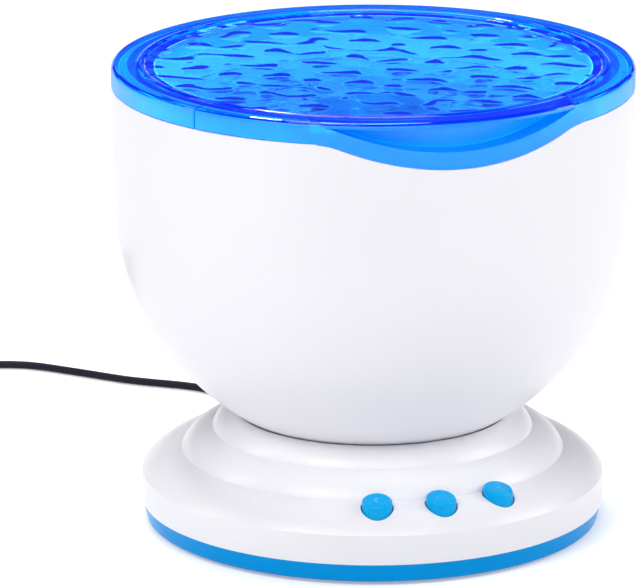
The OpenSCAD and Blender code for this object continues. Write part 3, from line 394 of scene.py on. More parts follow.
@dataclass(frozen=True)
class GlowFinish:
    """Water-clear epoxy over a lit chip.

    Attributes:
        name: Name of the real material.
        colour: sRGB colour of the epoxy.
        glow: sRGB colour of its light.
        strength: Strength of its light.
        cloud_mm: Size of the clouds in its gloss.
        gloss: Lowest and highest roughness.
        ior: Index of refraction.
    """

    name: str
    colour: str
    glow: str
    strength: float
    cloud_mm: float = 2.0
    gloss: tuple[float, float] = (0.06, 0.16)
    ior: float = 1.54

    def material(self) -> Material:
        """Builds the finish as a node material.

        Returns:
            The new material.
        """
        material, tree, surface = new_material(self.name)
        place = add_node(tree, COORDS).outputs["Object"]
        cloud = add_node(tree, NOISE, {"Vector": place, "Scale": per_metre(self.cloud_mm), "Detail": 1.0})
        gloss = add_node(tree, RANGE, {"Value": cloud, "To Min": self.gloss[0], "To Max": self.gloss[1]})
        shader = add_node(tree, PRINCIPLED, {
            "Base Color": linear(self.colour), "Roughness": gloss, "IOR": self.ior,
            "Emission Color": linear(self.glow), "Emission Strength": self.strength})
        tree.links.new(shader.outputs[0], surface)
        return material


@dataclass(frozen=True)
class BoardFinish:
    """Solder mask over copper tracks, which show through as paler bands.

    Attributes:
        name: Name of the real material.
        mask: sRGB colour of the mask over bare board.
        track: sRGB colour of the mask over copper.
        track_mm: Spacing of the tracks.
        width_mm: Width of a track.
        run: Length of a track between cross links, in spacings.
        relief_mm: Height of a track.
        relief_share: Share of that height that shows.
        gloss: Roughness of the mask.
        ior: Index of refraction.
    """

    name: str
    mask: str
    track: str
    track_mm: float
    width_mm: float = 0.3
    run: int = 4
    relief_mm: float = 0.05
    relief_share: float = 0.4
    gloss: float = 0.32
    ior: float = 1.55

    def material(self) -> Material:
        """Builds the finish as a node material.

        Returns:
            The new material.
        """
        material, tree, surface = new_material(self.name)
        place = add_node(tree, COORDS).outputs["Object"]
        tracks = add_node(tree, "ShaderNodeTexBrick", {
            "Vector": place, "Color1": linear(self.mask), "Color2": linear(self.mask),
            "Mortar": linear(self.track), "Scale": 1.0, "Mortar Size": self.width_mm * MM,
            "Brick Width": self.run * self.track_mm * MM, "Row Height": self.track_mm * MM}).outputs
        relief = add_node(tree, BUMP, {"Strength": self.relief_share, "Distance": self.relief_mm * MM,
                                       "Height": tracks["Fac"]})
        shader = add_node(tree, PRINCIPLED, {"Base Color": tracks["Color"], "Roughness": self.gloss,
                                             "IOR": self.ior, "Normal": relief})
        tree.links.new(shader.outputs[0], surface)
        return material


# Grains are drawn coarser than the real ones, which would be too fine to show

# Injection-moulded ABS: an even satin white whose soft gloss shows broad pale reflections
WHITE_ABS = Finish("white_ABS_moulded", "#F1F0F3", "#EDECF0", 45.0, 0.9, 0.0006, (0.29, 0.34), ior=1.53)
# The bowl's own white: the same, with a painted glow on the inner wall above the deck that stands in for the
# diodes' light
WHITE_ABS_PAINTED_GLOW = replace(WHITE_ABS, name="white_ABS_painted_inner_glow", lit=1.2)
# The same plastic dyed blue and polished: deeper colour with tighter highlights
BLUE_ABS = Finish("blue_ABS_moulded", "#009EEA", "#0094DE", 12.0, 0.6, 0.002, (0.18, 0.25), ior=1.53,
                  shine=0.05)
# The buttons, polished by fingers: a fuller blue with small crisp highlights
BUTTON_ABS = replace(BLUE_ABS, name="blue_ABS_polished", colour="#00AEF0", shade="#00A3E6",
                     gloss=(0.09, 0.14), shine=0.1)
# Raised marks in a paler blue than the buttons: a painted glint that stands in for their highlights
MARK_ABS_PAINTED_GLINT = replace(BLUE_ABS, name="blue_ABS_marks_painted_glint", colour="#58C4FA", shade="#44B8F2",
                   drift_mm=2.0, shine=0.3)
# Dyed dark, so that it stays a deep floor under the lens
DEEP_BLUE_ABS = Finish("deep_blue_ABS_moulded", "#0A3FC8", "#0836B8", 15.0, 0.8, 0.004, (0.35, 0.45),
                       ior=1.53)
# Tinted acrylic: glassy, like shallow water where the wall with its painted glow shows through, deep blue
# elsewhere, helped by a faint painted blue glow
LENS_ACRYLIC = ClearFinish("aqua_acrylic_lens", "#6CE6FF", "#58D2FF", 25.0, (0.005, 0.02), "#0038FF", 0.16)
# The same acrylic, thicker and streaked: deep blue from above with a faint painted blue glow, satin sides, a
# painted glow on the lens's ledge and a notch wall tinted paler, partly as painted light
RIM_ACRYLIC = ClearFinish("blue_acrylic_rim", "#009CFF", "#0048F0", 30.0, (0.01, 0.03), "#0030FF", 0.16,
                          thin_tint="#95EDFF", ledge_painted_glow=0.5, side_tint="#00B8FF", satin=0.35,
                          notch_painted_light_tint="#30F0FF", milk=0.5)
# Clear acrylic of the turning disc: nearly no colour of its own
DISC_ACRYLIC = ClearFinish("clear_acrylic_disc", "#F2FAFF", "#E8F4FF", 25.0, (0.01, 0.03))
# Cast epoxy over a lit chip: a small cool glow
LIT_EPOXY = GlowFinish("lit_epoxy_diode", "#F2F8FF", "#EAF4FF", 0.4)
# Soft PVC: near black with a cold cast and a dull sheen
CORD_PVC = Finish("dark_PVC_cord", "#16162B", "#101022", 8.0, 0.8, 0.02, (0.5, 0.62), ior=1.52, shine=0.2)
# Moulded rubber: flat black that drinks light
FOOT_RUBBER = Finish("black_rubber_moulded", "#232327", "#1B1B1E", 4.0, 0.5, 0.04, (0.7, 0.85), ior=1.52)
# Zinc-plated steel: grey with a faint drawn grain
ZINC_STEEL = Finish("zinc_plated_steel", "#B9BABD", "#A3A6AC", 5.0, 0.4, 0.006, (0.29, 0.4),
                    stretch=(1.0, 1.0, 0.2), metallic=1.0)
# Nickel-plated sheet: brighter and smoother than the zinc
NICKEL_SHEET = Finish("nickel_plated_sheet", "#D2D0CA", "#C4C2BC", 6.0, 0.5, 0.003, (0.14, 0.22),
                      stretch=(1.0, 1.0, 3.0), metallic=1.0)
# Sintered ferrite: charcoal with a stony grain
FERRITE = Finish("sintered_ferrite", "#3A3A3C", "#2E2E30", 2.0, 0.4, 0.03, (0.55, 0.75))
# Pressed paper pulp: soft, fibrous and dark
CONE_PAPER = Finish("pressed_paper_cone", "#2E2D31", "#3A393D", 1.2, 0.35, 0.05, (0.8, 0.92))
# Moulded epoxy of chips and switches: matt black with a fine tooth
CHIP_EPOXY = Finish("black_epoxy_moulded", "#1D1D20", "#252529", 1.5, 0.25, 0.01, (0.45, 0.6))
# Shrink sleeve on a capacitor: dark blue and slightly slick
CAN_SLEEVE = Finish("PET_shrink_sleeve", "#1B2350", "#232C5E", 3.0, 0.5, 0.008, (0.29, 0.37))
# Nylon: waxy ivory
NYLON = Finish("ivory_nylon_moulded", "#E6DFC8", "#DCD4BA", 4.0, 0.4, 0.008, (0.38, 0.5), ior=1.53)
# Green solder mask: slick, with paler lines where copper lies under it
GREEN_BOARD = BoardFinish("green_solder_mask", "#0E5A35", "#1B7A4A", 2.5)
# The same in blue, on the ring board
BLUE_BOARD = BoardFinish("blue_solder_mask", "#0B2A78", "#16409C", 3.0)


def dress(nodes: Iterable[str], finish: Coat) -> Material:
    """Gives a finish to CAD nodes.

    Args:
        nodes: Names of the nodes.
        finish: Finish that they share.

    Returns:
        The material that they now have.
    """
    material = finish.material()
    for name in nodes:
        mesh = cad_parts[name].data
        mesh.materials.clear()
        mesh.materials.append(material)
        LOG.info("dressed %s in %s", name, material.name)
    return material


def place_mesh(name: str, mesh: Mesh, body: Body) -> Piece:
    """Makes a finished mesh a piece that rides on a body.

    Args:
        name: Name of the piece.
        mesh: Its mesh, already in place.
        body: Body that it rides on.

    Returns:
        The new piece.
    """
    piece = bpy.data.objects.new(name, mesh)
    bpy.context.scene.collection.objects.link(piece)
    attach(piece, body.value)
    LOG.info("made %s, %d faces, on %s", name, len(mesh.polygons), body.value)
    return piece


def grown_mesh(tree: Tree, values: dict[str, Any], seed: Mesh | None = None) -> Mesh:
    """Runs a geometry tree and keeps what it makes as a plain mesh.

    Args:
        tree: Geometry tree with named inputs.
        values: Values of those inputs.
        seed: Mesh that the tree starts from, if it needs one.

    Returns:
        The finished mesh, with outward faces.
    """
    maker = bpy.data.objects.new("maker", seed or bpy.data.meshes.new("seed"))
    bpy.context.scene.collection.objects.link(maker)
    modifier = maker.modifiers.new("grow", "NODES")
    modifier.node_group = tree
    for item in tree.interface.items_tree:
        if item.item_type == "SOCKET" and item.in_out == "INPUT" and item.name in values:
            modifier[item.identifier] = values[item.name]
    graph = bpy.context.evaluated_depsgraph_get()
    mesh = bpy.data.meshes.new_from_object(maker.evaluated_get(graph))
    maker.modifiers.remove(modifier)
    bpy.data.objects.remove(maker)
    shape = bmesh.new()
    shape.from_mesh(mesh)
    bmesh.ops.remove_doubles(shape, verts=shape.verts, dist=WELD)
    bmesh.ops.recalc_face_normals(shape, faces=shape.faces)
    for face in shape.faces:
        face.material_index = 0
    shape.to_mesh(mesh)
    shape.free()
    mesh.materials.clear()
    mesh.materials.append(values["Material"])
    mesh.shade_smooth()
    mesh.set_sharp_from_angle(angle=CREASE)
    return mesh


def smooth_cord(name: str, route: Sequence[Point], radius: float, material: Material, roundness: int = 3,
                steps: int = 5) -> Piece:
    """Makes a round cord on one smooth curve through its route.

    Args:
        name: Name of the piece.
        route: Points that the cord passes through.
        radius: Radius of the cord.
        material: Material of its jacket.
        roundness: Steps in each quarter of its section.
        steps: Steps between two points of its route.

    Returns:
        The curve, closed at both ends.
    """
    data = bpy.data.curves.new(name, "CURVE")
    data.dimensions = "3D"
    data.bevel_depth = radius
    data.bevel_resolution = roundness
    data.resolution_u = steps
    data.use_fill_caps = True
    spline = data.splines.new("BEZIER")
    spline.bezier_points.add(len(route) - 1)
    for knot, place in zip(spline.bezier_points, route):
        knot.co = place
        knot.handle_left_type = knot.handle_right_type = "AUTO"
    data.materials.append(material)
    piece = bpy.data.objects.new(name, data)
    bpy.context.scene.collection.objects.link(piece)
    LOG.info("made %s through %d points", name, len(route))
    return piece


def tree_inputs(tree: Tree, sockets: dict[str, str]) -> Node:
    """Gives a geometry tree its named inputs and its geometry output.

    Args:
        tree: Tree that gets them.
        sockets: Socket type by input name.

    Returns:
        The node that carries the inputs.
    """
    for name, kind in sockets.items():
        tree.interface.new_socket(name, in_out="INPUT", socket_type=kind)
    tree.interface.new_socket("Geometry", in_out="OUTPUT", socket_type="NodeSocketGeometry")
    return add_node(tree, "NodeGroupInput")


@dataclass
class WavedPlate:
    """A round plate with one flat face and one that crossing wave trains ripple.

    Attributes:
        radius: Outer radius.
        bore: Radius of the hole in the middle, or 0.
        flat: Height of the flat face.
        waved: Height of the level parts of the waved face.
        crest: Height of a full wave above them.
        shift: Shift of the waves along X.
        flat_radius: Radius inside which the face is flat.
        rings: Rings of the mesh.
        sectors: Sectors of the mesh.
        fade: Width over which the waves die out.
        level: Share of the swell that lies below the level face.
    """

    radius: float
    bore: float
    flat: float
    waved: float
    crest: float
    shift: float
    flat_radius: float
    rings: int
    sectors: int
    fade: float = 3.0 * MM
    level: float = 0.1

    # Length in millimetres, heading and phase in degrees, as in the part's source
    TRAINS = ((11.0, 80.0, 20.0), (9.5, 118.0, 140.0), (8.5, 52.0, 260.0), (12.5, 15.0, 75.0),
              (10.0, 160.0, 310.0))

    def sizes(self) -> dict[str, float | int]:
        """Sizes of the plate by the names of the tree's inputs, such as Flat Radius."""
        return {name.replace("_", " ").title(): size for name, size in vars(self).items()}

    def tree(self) -> Tree:
        """Builds the geometry tree of a waved plate.

        Returns:
            The tree, with the plate's sizes as named inputs.
        """
        tree = bpy.data.node_groups.new("waved_plate", "GeometryNodeTree")
        kinds = {float: "NodeSocketFloat", int: "NodeSocketInt"}
        sockets = {name: kinds[type(size)] for name, size in self.sizes().items()}
        given = tree_inputs(tree, sockets | {"Material": "NodeSocketMaterial"}).outputs

        # A unit grid: across it runs the angle, along it the radius or the height of a wall
        where = add_node(tree, "GeometryNodeInputPosition")
        across, along, _ = add_node(tree, SPLIT, {0: where}).outputs
        turn, reach, wall = (
            add_node(tree, RANGE, {"Value": way, "From Min": -0.5, "From Max": 0.5, "To Min": first,
                                   "To Max": last})
            for way, first, last in ((across, 0.0, math.tau), (along, given["Bore"], given["Radius"]),
                                     (along, given["Flat"], given["Waved"])))

        def on_plan(radius: Source, height: Any) -> Source:
            """Point at a radius and a height, at the grid point's own angle."""
            spoke = add_node(tree, COMBINE, {0: radius, 2: height})
            return add_node(tree, "ShaderNodeVectorRotate", {"Vector": spoke, "Angle": turn},
                            rotation_type="Z_AXIS")

        shift = add_node(tree, COMBINE, {0: given["Shift"]})
        moved = add_node(tree, VECTOR_MATH, {0: on_plan(reach, 0.0), 1: shift}, operation="ADD")
        swell: Any = 0.0
        for length, heading, phase in self.TRAINS:
            pull = math.tau / (length * MM)
            wave = (pull * math.cos(math.radians(heading)), pull * math.sin(math.radians(heading)), 0.0)
            course = add_node(tree, VECTOR_MATH, {0: moved, 1: wave}, operation="DOT_PRODUCT").outputs[1]
            angle = add_node(tree, MATH, {0: course, 1: math.radians(phase)}, operation="ADD")
            ripple = add_node(tree, MATH, {0: angle}, operation="SINE")
            swell = add_node(tree, MATH, {0: swell, 1: ripple}, operation="ADD")
        mean = add_node(tree, MATH, {0: swell, 1: float(len(self.TRAINS))}, operation="DIVIDE")
        proud = add_node(tree, MATH, {0: mean, 1: given["Level"]}, operation="SUBTRACT", use_clamp=True)
        fades = []
        for edge, way in (("Radius", "SUBTRACT"), ("Flat Radius", "ADD")):
            full = add_node(tree, MATH, {0: given[edge], 1: given["Fade"]}, operation=way)
            fades.append(add_node(tree, RANGE, {"Value": reach, "From Min": given[edge], "From Max": full}))
        fading = add_node(tree, MATH, dict(enumerate(fades)), operation="MINIMUM")
        crest = add_node(tree, MATH, {0: given["Crest"], 1: fading}, operation="MULTIPLY")
        height = add_node(tree, MATH, {0: crest, 1: proud, 2: given["Waved"]}, operation="MULTIPLY_ADD")
        rows, columns = (add_node(tree, MATH, {0: given[steps], 1: 1.0}, operation="ADD")
                         for steps in ("Rings", "Sectors"))

        def skin(lines: Any, target: Source) -> Source:
            """One grid bent to its place."""
            grid = add_node(tree, "GeometryNodeMeshGrid", {
                "Size X": 1.0, "Size Y": 1.0, "Vertices X": columns, "Vertices Y": lines})
            return add_node(tree, "GeometryNodeSetPosition", {"Geometry": grid, "Position": target})

        waved = skin(rows, on_plan(reach, height))
        level = skin(2, on_plan(reach, given["Flat"]))
        side = skin(2, on_plan(given["Radius"], wall))
        pierced = add_node(tree, MATH, {0: given["Bore"], 1: 0.0}, operation="GREATER_THAN")
        lining = add_node(tree, "GeometryNodeSwitch", {
            "Switch": pierced, "True": skin(2, on_plan(given["Bore"], wall))}, input_type="GEOMETRY")
        joined = add_node(tree, "GeometryNodeJoinGeometry")
        for part in (waved, level, side, lining):
            tree.links.new(part.outputs[0], joined.inputs[0])
        closed = add_node(tree, "GeometryNodeMergeByDistance", {"Geometry": joined, "Distance": SEAM})
        real = add_node(tree, "GeometryNodeRealizeInstances", {0: closed})
        done = add_node(tree, SET_MATERIAL, {"Geometry": real, "Material": given["Material"]})
        add_node(tree, "NodeGroupOutput", {0: done})
        return tree

    def mesh(self, material: Material) -> Mesh:
        """Makes the plate's mesh.

        Args:
            material: Material of the plate.

        Returns:
            The closed mesh.
        """
        return grown_mesh(self.tree(), self.sizes() | {"Material": material})


@dataclass
class Lid:
    """Clear blue lid: rim with its band, lobe and finger notch, and the waved lens.

    Attributes:
        lens: The lens, whose waves are hollows in its underside.
    """

    lens: WavedPlate = field(default_factory=lambda: WavedPlate(
        radius=55.5 * MM, bore=0.0, flat=115.5 * MM, waved=113.3 * MM, crest=0.5 * MM, shift=0.0,
        flat_radius=-3.0 * MM, rings=72, sectors=420))

    def build(self) -> None:
        """Dresses the rim and makes the lens."""
        dress(["lid_rim"], RIM_ACRYLIC)
        lens = place_mesh("aqua_wave_lens", self.lens.mesh(LENS_ACRYLIC.material()), Body.LID)
        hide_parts("wave_lens")


@dataclass
class Lamp:
    """What the bowl holds: deck, motor, lit diodes and the turning wave disc.

    Attributes:
        disc: The turning disc, waved on top.
        lead_radius: Radius of the lead that feeds the lamp.
        lead_route: Points of the lead in millimetres, from the deck down through the pivot.
    """

    disc: WavedPlate = field(default_factory=lambda: WavedPlate(
        radius=52.0 * MM, bore=3.1 * MM, flat=101.2 * MM, waved=103.0 * MM, crest=0.3 * MM, shift=31.0 * MM,
        flat_radius=7.0 * MM, rings=56, sectors=300))
    lead_radius: float = 1.8 * MM
    lead_route: tuple[Point, ...] = (
        (0, -18, 87.1), (0, -18, 82), (0, -18, 77.1), (0, -17.6, 68.5), (0, -17, 60), (0, -15.4, 54),
        (0, -13, 48), (0, -10.2, 43.6), (0, -7, 40), (0, -4.2, 37), (0, -2, 34), (0, -0.6, 31.5), (0, 0, 29),
        (0, 0, 20), (0, 0, 11.4))

    def build(self) -> None:
        """Dresses the lamp's nodes and makes the disc and the lead."""
        dress(["lamp_deck"], DEEP_BLUE_ABS)
        dress(["led_board"], BLUE_BOARD)
        dress(["leds"], LIT_EPOXY)
        plate = self.disc.mesh(DISC_ACRYLIC.material())
        disc = place_mesh("clear_wave_disc", plate, Body.DISC)
        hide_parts("wave_disc")
        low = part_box("lamp_lead")[0].z
        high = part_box("lamp_lead")[1].z
        route = [(x * MM, y * MM, min(max(z * MM, low), high)) for x, y, z in self.lead_route]
        lead = smooth_cord("lamp_lead_sleeve", route, self.lead_radius, CORD_PVC.material())
        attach(lead, Body.BOWL.value)
        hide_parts("lamp_lead")


@dataclass
class SupplyCord:
    """USB cord: free stretch, put-away coil, tail and plug, in millimetres and degrees.

    Attributes:
        tip: Tip of the strain relief, where the cord leaves the base.
        run: Points of the free stretch, in plan from the tip, as in the part's source.
        tail: Points between coil and plug, in plan from the tip, with the share of the fall still to come.
        plug: Where the cord enters the plug.
        gate: Where the cord enters and leaves the coil.
        gate_angle: Bearing of the gate from the coil's middle.
        inner: Smallest radius of the coil.
        pitch: Distance between neighbouring turns and layers.
        turns: Turns in each layer.
        layers: Layers of the coil.
        rings: Points in each turn.
        low: Height of the lowest layer's middle.
        diameter: Diameter of the cord.
        length: Length of the whole cord; not used.
    """

    tip: Point = (0.0, 72.2, 7.8)
    run: tuple[Point, ...] = (
        (0, 2.8, 7.8), (0, 6.8, 7.2), (-0.2, 10.8, 5.8), (-0.5, 14.8, 4.2), (-1, 18.8, 2.7),
        (-1.6, 22.8, 1.6), (-2.4, 26.8, 1.05), (-3.4, 31.8, 1), (-4.9, 36.8, 1), (-7.2, 41.6, 1),
        (-10.8, 45.8, 1), (-15.2, 49.4, 1), (-20, 53, 1), (-24.8, 57, 1), (-29.2, 61.6, 1), (-33.4, 66.2, 1),
        (-37.5, 70.6, 1), (-41.5, 74.8, 1), (-45.2, 78.1, 1), (-49.2, 80.4, 1), (-53.8, 82.1, 1),
        (-59, 83.6, 1), (-65, 85.3, 1), (-71, 87, 1.3))
    tail: tuple[Point, ...] = (
        (-86, 91.4, 0.95), (-90, 92.6, 0.78), (-94, 93.7, 0.54), (-98, 94.9, 0.28), (-102, 96, 0.1),
        (-106, 97.2, 0.02))
    plug: Point = (-110.0, 170.5, 3.75)
    gate: tuple[float, float] = (-80.0, 161.9)
    gate_angle: float = 254.0
    inner: float = 7.0
    pitch: float = 2.55
    turns: int = 3
    layers: int = 4
    rings: int = 24
    low: float = 1.7
    diameter: float = 2.0
    length: float = 980.0

    def coil_radius(self, turn: float) -> float:
        """Radius of the coil after a number of turns: in and out again at a steady rate."""
        part = turn % (2 * self.turns)
        return self.inner + self.turns * self.pitch - self.pitch * min(part, 2 * self.turns - part)

    def coil_rise(self, turn: float) -> float:
        """Finds the height of the coil: a layer up in the half turn about each reversal.

        Args:
            turn: Turns since the gate.

        Returns:
            Height of the cord's middle.
        """
        rise = 0.0
        for layer in range(1, self.layers):
            share = min(1.0, max(0.0, 2 * (turn - layer * self.turns) + 0.5))
            rise += share * share * (3 - 2 * share)
        return self.low + self.pitch * rise

    def route(self) -> list[Point]:
        """Points of the whole cord.

        Returns:
            The points in metres, from the strain relief's tip to the plug.
        """
        out = self.inner + self.turns * self.pitch
        angle = math.radians(self.gate_angle)
        middle = (self.gate[0] - out * math.cos(angle), self.gate[1] - out * math.sin(angle))
        heading = Vector((math.sin(angle), -math.cos(angle), 0.0))
        coil = []
        for i in range(self.turns * self.layers * self.rings + 1):
            turn = i / self.rings
            bearing = angle - math.tau * turn
            radius = self.coil_radius(turn)
            coil.append(Vector((middle[0] + radius * math.cos(bearing),
                                middle[1] + radius * math.sin(bearing), self.coil_rise(turn))))
        first, last = coil[0] - self.diameter * heading, coil[-1] + self.diameter * heading
        fall = coil[-1].z - self.plug[2]
        points = [Vector(self.tip)]
        points += [Vector((x, y + self.tip[1], z)) for x, y, z in self.run]
        points += [first, *coil, last]
        points += [Vector((x, y + self.tip[1], self.plug[2] + share * fall)) for x, y, share in self.tail]
        points.append(Vector(self.plug))
        return [tuple(p * MM) for p in points]

    def build(self) -> None:
        """Dresses the cord's fittings and lays the cord."""
        jacket = dress(["cord_gland", "cord_tie", "usb_plug_body"], CORD_PVC)
        dress(["usb_plug_shell"], NICKEL_SHEET)
        route = self.route()
        cord = smooth_cord("usb_cord", route, self.diameter / 2 * MM, jacket)
        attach(cord, Body.BASE.value)
        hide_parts("cord_run", "cord_coil", "cord_tail")


class Mark(Enum):
    """Raised marks on the buttons: each dome as X, Y, length and turn in millimetres and degrees."""

    CHEVRON = ((-0.35, 0.25, 1.5, 40.0), (-0.35, -0.55, 1.5, -40.0))
    DOTS = ((-1.1, 0.0, 0.5, 0.0), (0.0, 0.0, 0.5, 0.0), (1.1, 0.0, 0.5, 0.0))
    DASH = ((0.0, 0.0, 2.0, 0.0),)


@dataclass
class Buttons:
    """Three blue push buttons with raised marks.

    Attributes:
        pitch: Distance of the buttons from the axis.
        step: Angle between neighbours in degrees.
        top: Height of a button's top at its middle.
        slope: Slope of the tops in degrees, down towards the front.
        mark_width: Width of a mark's strokes.
        mark_height: How far a mark stands proud.
        marks: Steps from the middle button, body and mark of each button.
    """

    pitch: float = 50.4 * MM
    step: float = 17.9
    top: float = 19.7 * MM
    slope: float = 14.0
    mark_width: float = 0.5 * MM
    mark_height: float = 0.2 * MM
    marks: tuple[tuple[int, Body, Mark], ...] = (
        (-1, Body.LEFT_BUTTON, Mark.CHEVRON), (0, Body.MIDDLE_BUTTON, Mark.DOTS),
        (1, Body.RIGHT_BUTTON, Mark.DASH))

    def tree(self) -> Tree:
        """Builds the geometry tree that sets a dome on each point, drawn out and turned.

        Returns:
            The tree, with the dome's sizes as named inputs.
        """
        tree = bpy.data.node_groups.new("raised_marks", "GeometryNodeTree")
        given = tree_inputs(tree, {"Points": "NodeSocketGeometry", "Width": "NodeSocketFloat",
                                   "Height": "NodeSocketFloat", "Material": "NodeSocketMaterial"}).outputs
        dome = add_node(tree, "GeometryNodeMeshUVSphere", {"Segments": 20, "Rings": 12, "Radius": 0.5})
        length, turn = (add_node(tree, "GeometryNodeInputNamedAttribute", {"Name": name}, data_type="FLOAT")
                        for name in ("length", "turn"))
        # Half of each dome is sunk in the button
        tall = add_node(tree, MATH, {0: given["Height"], 1: 2.0}, operation="MULTIPLY")
        size = add_node(tree, COMBINE, {0: length, 1: given["Width"], 2: tall})
        spin = add_node(tree, COMBINE, {2: turn})
        set_out = add_node(tree, "GeometryNodeInstanceOnPoints", {
            "Points": given["Points"], "Instance": dome, "Rotation": spin, "Scale": size})
        real = add_node(tree, "GeometryNodeRealizeInstances", {0: set_out})
        done = add_node(tree, SET_MATERIAL, {"Geometry": real, "Material": given["Material"]})
        add_node(tree, "NodeGroupOutput", {0: done})
        return tree

    def seed(self, mark: Mark) -> Mesh:
        """Points of a mark on a level button top.

        Args:
            mark: Mark to lay out.

        Returns:
            A mesh of loose points with a length and a turn each.
        """
        mesh = bpy.data.meshes.new("mark_points")
        mesh.from_pydata([(x * MM, y * MM, 0.0) for x, y, _, _ in mark.value], [], [])
        for name, column, unit in (("length", 2, MM), ("turn", 3, math.radians(1.0))):
            values = mesh.attributes.new(name, "FLOAT", "POINT")
            values.data.foreach_set("value", [row[column] * unit for row in mark.value])
        return mesh

    def build(self) -> None:
        """Dresses the buttons and raises their marks."""
        dress(["button_left", "button_middle", "button_right"], BUTTON_ABS)
        # The marks' paler blue is a painted glint
        painted_glint = MARK_ABS_PAINTED_GLINT.material()
        tree = self.tree()
        for place, body, mark in self.marks:
            mesh = grown_mesh(tree, {"Width": self.mark_width, "Height": self.mark_height, "Material": painted_glint},
                              self.seed(mark))
            mesh.transform(Matrix.Rotation(math.radians(place * self.step), 4, "Z")
                           @ Matrix.Translation((0.0, -self.pitch, self.top))
                           @ Matrix.Rotation(math.radians(self.slope), 4, "X"))
            place_mesh(f"{body.value}_{mark.name.lower()}", mesh, body)


@dataclass
class Shell:
    """White housing, bowl and everything that is closed inside the base."""

    def build(self) -> None:
        """Dresses the nodes."""
        dress(["base_housing", "disc_hub", "disc_cap"], WHITE_ABS)
        # The bowl's inner wall carries a painted glow
        dress(["bowl_shell"], WHITE_ABS_PAINTED_GLOW)
        dress(["base_plate"], BLUE_ABS)
        dress(["rubber_feet", "speaker_gasket"], FOOT_RUBBER)
        dress(["base_screws", "speaker_frame", "speaker_screws", "main_board_screws", "key_board_screws",
               "pivot_post", "pivot_nut", "spring_washer", "deck_screws", "motor_screws", "led_screws",
               "drive_shaft", "gear_motor"], ZINC_STEEL)
        dress(["speaker_magnet"], FERRITE)
        dress(["speaker_cone"], CONE_PAPER)
        dress(["main_board", "key_board"], GREEN_BOARD)
        dress(["sound_chip", "tact_switches", "plunger_left", "plunger_middle", "plunger_right"], CHIP_EPOXY)
        dress(["capacitors"], CAN_SLEEVE)
        dress(["lead_sockets", "tilt_washer"], NYLON)


@dataclass
class SoftBox:
    """A soft studio lamp.

    Attributes:
        name: Name of the lamp.
        place: Where it hangs.
        aim: What it points at.
        size: Width and height.
        power: Power in watts.
    """

    name: str
    place: Point
    aim: Point
    size: tuple[float, float]
    power: float

    def build(self) -> None:
        """Hangs the lamp."""
        data = bpy.data.lights.new(self.name, "AREA")
        data.shape = "RECTANGLE"
        data.size, data.size_y = self.size
        data.energy = self.power
        lamp = bpy.data.objects.new(self.name, data)
        lamp.location = self.place
        lamp.rotation_mode = "QUATERNION"
        lamp.rotation_quaternion = (Vector(self.aim) - Vector(self.place)).to_track_quat("-Z", "Y")
        bpy.context.scene.collection.objects.link(lamp)


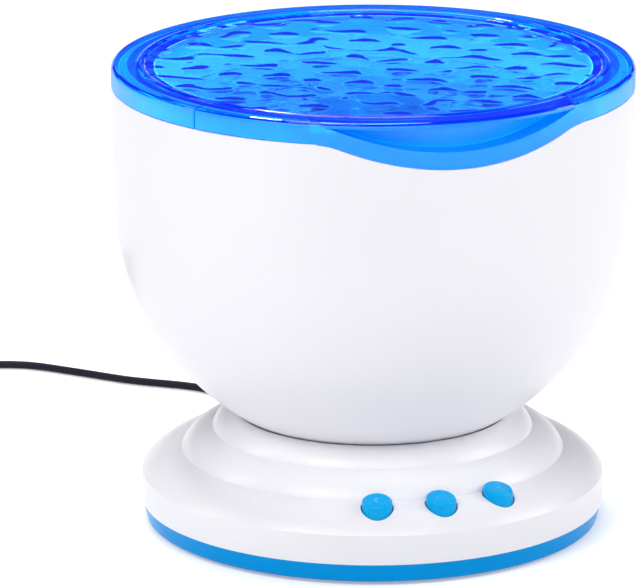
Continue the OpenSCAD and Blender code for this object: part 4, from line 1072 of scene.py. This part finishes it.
@dataclass
class Studio:
    """Camera, pale floor, backdrop light and soft boxes.

    Attributes:
        stand: Point that the camera's place is measured from.
        distance: Distance of the camera from it.
        bearing: Bearing and height of the camera, in degrees.
        aim: Bearing and height opposite to the way that it looks, in degrees.
        lens: Focal length in millimetres.
        sensor: Width of the sensor in millimetres.
        clip: Nearest and farthest distance that the camera sees.
        floor_half: Half the floor's width.
        floor_gap: How far the floor lies under the feet.
        floor_colour: sRGB colour of the floor.
        floor_lift: White added to the floor, as it is seen, near the object and far from it.
        floor_fade: Distances between which that changes.
        horizon: Heights of view between which the backdrop fades from white to the ceiling.
        ceiling: sRGB colour of the backdrop overhead.
        boxes: The soft boxes.
    """

    stand: Point = (0.0, 0.0, 0.0008)
    distance: float = 1.42511
    bearing: tuple[float, float] = (-19.274, 17.797)
    aim: tuple[float, float] = (-18.726, 15.621)
    lens: float = 321.34
    sensor: float = 36.0
    clip: tuple[float, float] = (0.05, 50.0)
    floor_half: float = 4.0
    floor_gap: float = 0.2 * MM
    floor_colour: str = "#F4F4F5"
    floor_lift: tuple[float, float] = (0.36, 1.0)
    floor_fade: tuple[float, float] = (0.45, 1.6)
    horizon: tuple[float, float] = (0.05, 0.11)
    ceiling: str = "#42444F"
    boxes: tuple[SoftBox, ...] = (
        SoftBox("front_box", (-0.1, -1.0, 1.0), (0.0, 0.0, 0.07), (0.9, 0.7), 5.2),
        SoftBox("right_box", (0.95, -0.35, 0.5), (0.0, 0.0, 0.05), (0.6, 0.6), 5.2),
        SoftBox("left_box", (-0.7, -0.47, 0.8), (0.0, 0.0, 0.04), (0.6, 0.5), 5.1),
        SoftBox("top_box", (0.0, 0.3, 1.1), (0.0, 0.0, 0.1), (0.6, 0.6), 4.5),
        SoftBox("back_strip", (-0.1, 0.62, 1.0), (0.0, 0.0, 0.11), (0.25, 0.08), 2.2),
        SoftBox("left_strip", (-0.75, 0.3, 0.4), (0.0, 0.0, 0.03), (0.2, 0.5), 1.2),
    )

    @staticmethod
    def direction(azimuth: float, elevation: float) -> Vector:
        """Direction towards a bearing and a height, both in degrees."""
        a, e = math.radians(azimuth), math.radians(elevation)
        return Vector((math.sin(a) * math.cos(e), -math.cos(a) * math.cos(e), math.sin(e)))

    def camera(self) -> None:
        """Sets up the camera at the photograph's angle."""
        data = bpy.data.cameras.new("camera")
        data.lens = self.lens
        data.sensor_width = self.sensor
        data.clip_start, data.clip_end = self.clip
        camera = bpy.data.objects.new("camera", data)
        camera.location = Vector(self.stand) + self.distance * self.direction(*self.bearing)
        camera.rotation_mode = "QUATERNION"
        camera.rotation_quaternion = (-self.direction(*self.aim)).to_track_quat("-Z", "Y")
        bpy.context.scene.collection.objects.link(camera)
        bpy.context.scene.camera = camera

    def floor(self) -> None:
        """Lays a pale floor that keeps the object's shadow and turns plain white far from it."""
        mesh = bpy.data.meshes.new("floor")
        corners = [(x * self.floor_half, y * self.floor_half, -self.floor_gap)
                   for x, y in ((-1, -1), (1, -1), (1, 1), (-1, 1))]
        mesh.from_pydata(corners, [], [(0, 1, 2, 3)])
        material, tree, surface = new_material("pale_floor")
        paper = add_node(tree, "ShaderNodeBsdfDiffuse", {"Color": linear(self.floor_colour)})
        path = add_node(tree, "ShaderNodeLightPath").outputs
        seen = path["Is Camera Ray"]
        for ray in ("Is Glossy Ray", "Is Transmission Ray"):
            seen = add_node(tree, MATH, {0: seen, 1: path[ray]}, operation="MAXIMUM")
        reach, _ = axis_place(tree, add_node(tree, COORDS).outputs["Object"])
        white = add_node(tree, RANGE, {
            "Value": reach, "From Min": self.floor_fade[0], "From Max": self.floor_fade[1],
            "To Min": self.floor_lift[0], "To Max": self.floor_lift[1]}, interpolation_type="SMOOTHSTEP")
        lift = add_node(tree, MATH, {0: seen, 1: white}, operation="MULTIPLY")
        glow = add_node(tree, "ShaderNodeEmission", {"Color": linear("#FFFFFF"), "Strength": lift})
        both = add_node(tree, "ShaderNodeAddShader", {0: paper, 1: glow})
        tree.links.new(both.outputs[0], surface)
        mesh.materials.append(material)
        floor = bpy.data.objects.new("floor", mesh)
        bpy.context.scene.collection.objects.link(floor)

    def world(self) -> None:
        """Surrounds the object with a backdrop that is white at the horizon and dimmer overhead."""
        world = bpy.data.worlds.new("backdrop")
        bpy.context.scene.world = world
        world.use_nodes = True
        tree = world.node_tree
        tree.nodes.clear()
        way = add_node(tree, COORDS).outputs["Generated"]
        height = add_node(tree, SPLIT, {0: way}).outputs[2]
        share = add_node(tree, RANGE, {
            "Value": height, "From Min": self.horizon[0], "From Max": self.horizon[1]},
            interpolation_type="SMOOTHSTEP")
        sky = add_node(tree, MIX, {0: share, 6: linear("#FFFFFF"), 7: linear(self.ceiling)}, data_type="RGBA")
        light = add_node(tree, "ShaderNodeBackground", {"Color": sky.outputs[2], "Strength": 1.0})
        add_node(tree, "ShaderNodeOutputWorld", {"Surface": light})

    def build(self) -> None:
        """Builds the studio."""
        bpy.context.scene.view_settings.view_transform = "Standard"
        self.camera()
        self.floor()
        self.world()
        for box in self.boxes:
            box.build()


def main() -> None:
    """Builds the studio and every sub-assembly in order."""
    logging.basicConfig(level=logging.INFO, format="%(name)s: %(message)s")
    Studio().build()
    SupplyCord().build()
    Shell().build()
    Buttons().build()
    Lamp().build()
    Lid().build()


if __name__ == "__main__":
    main()
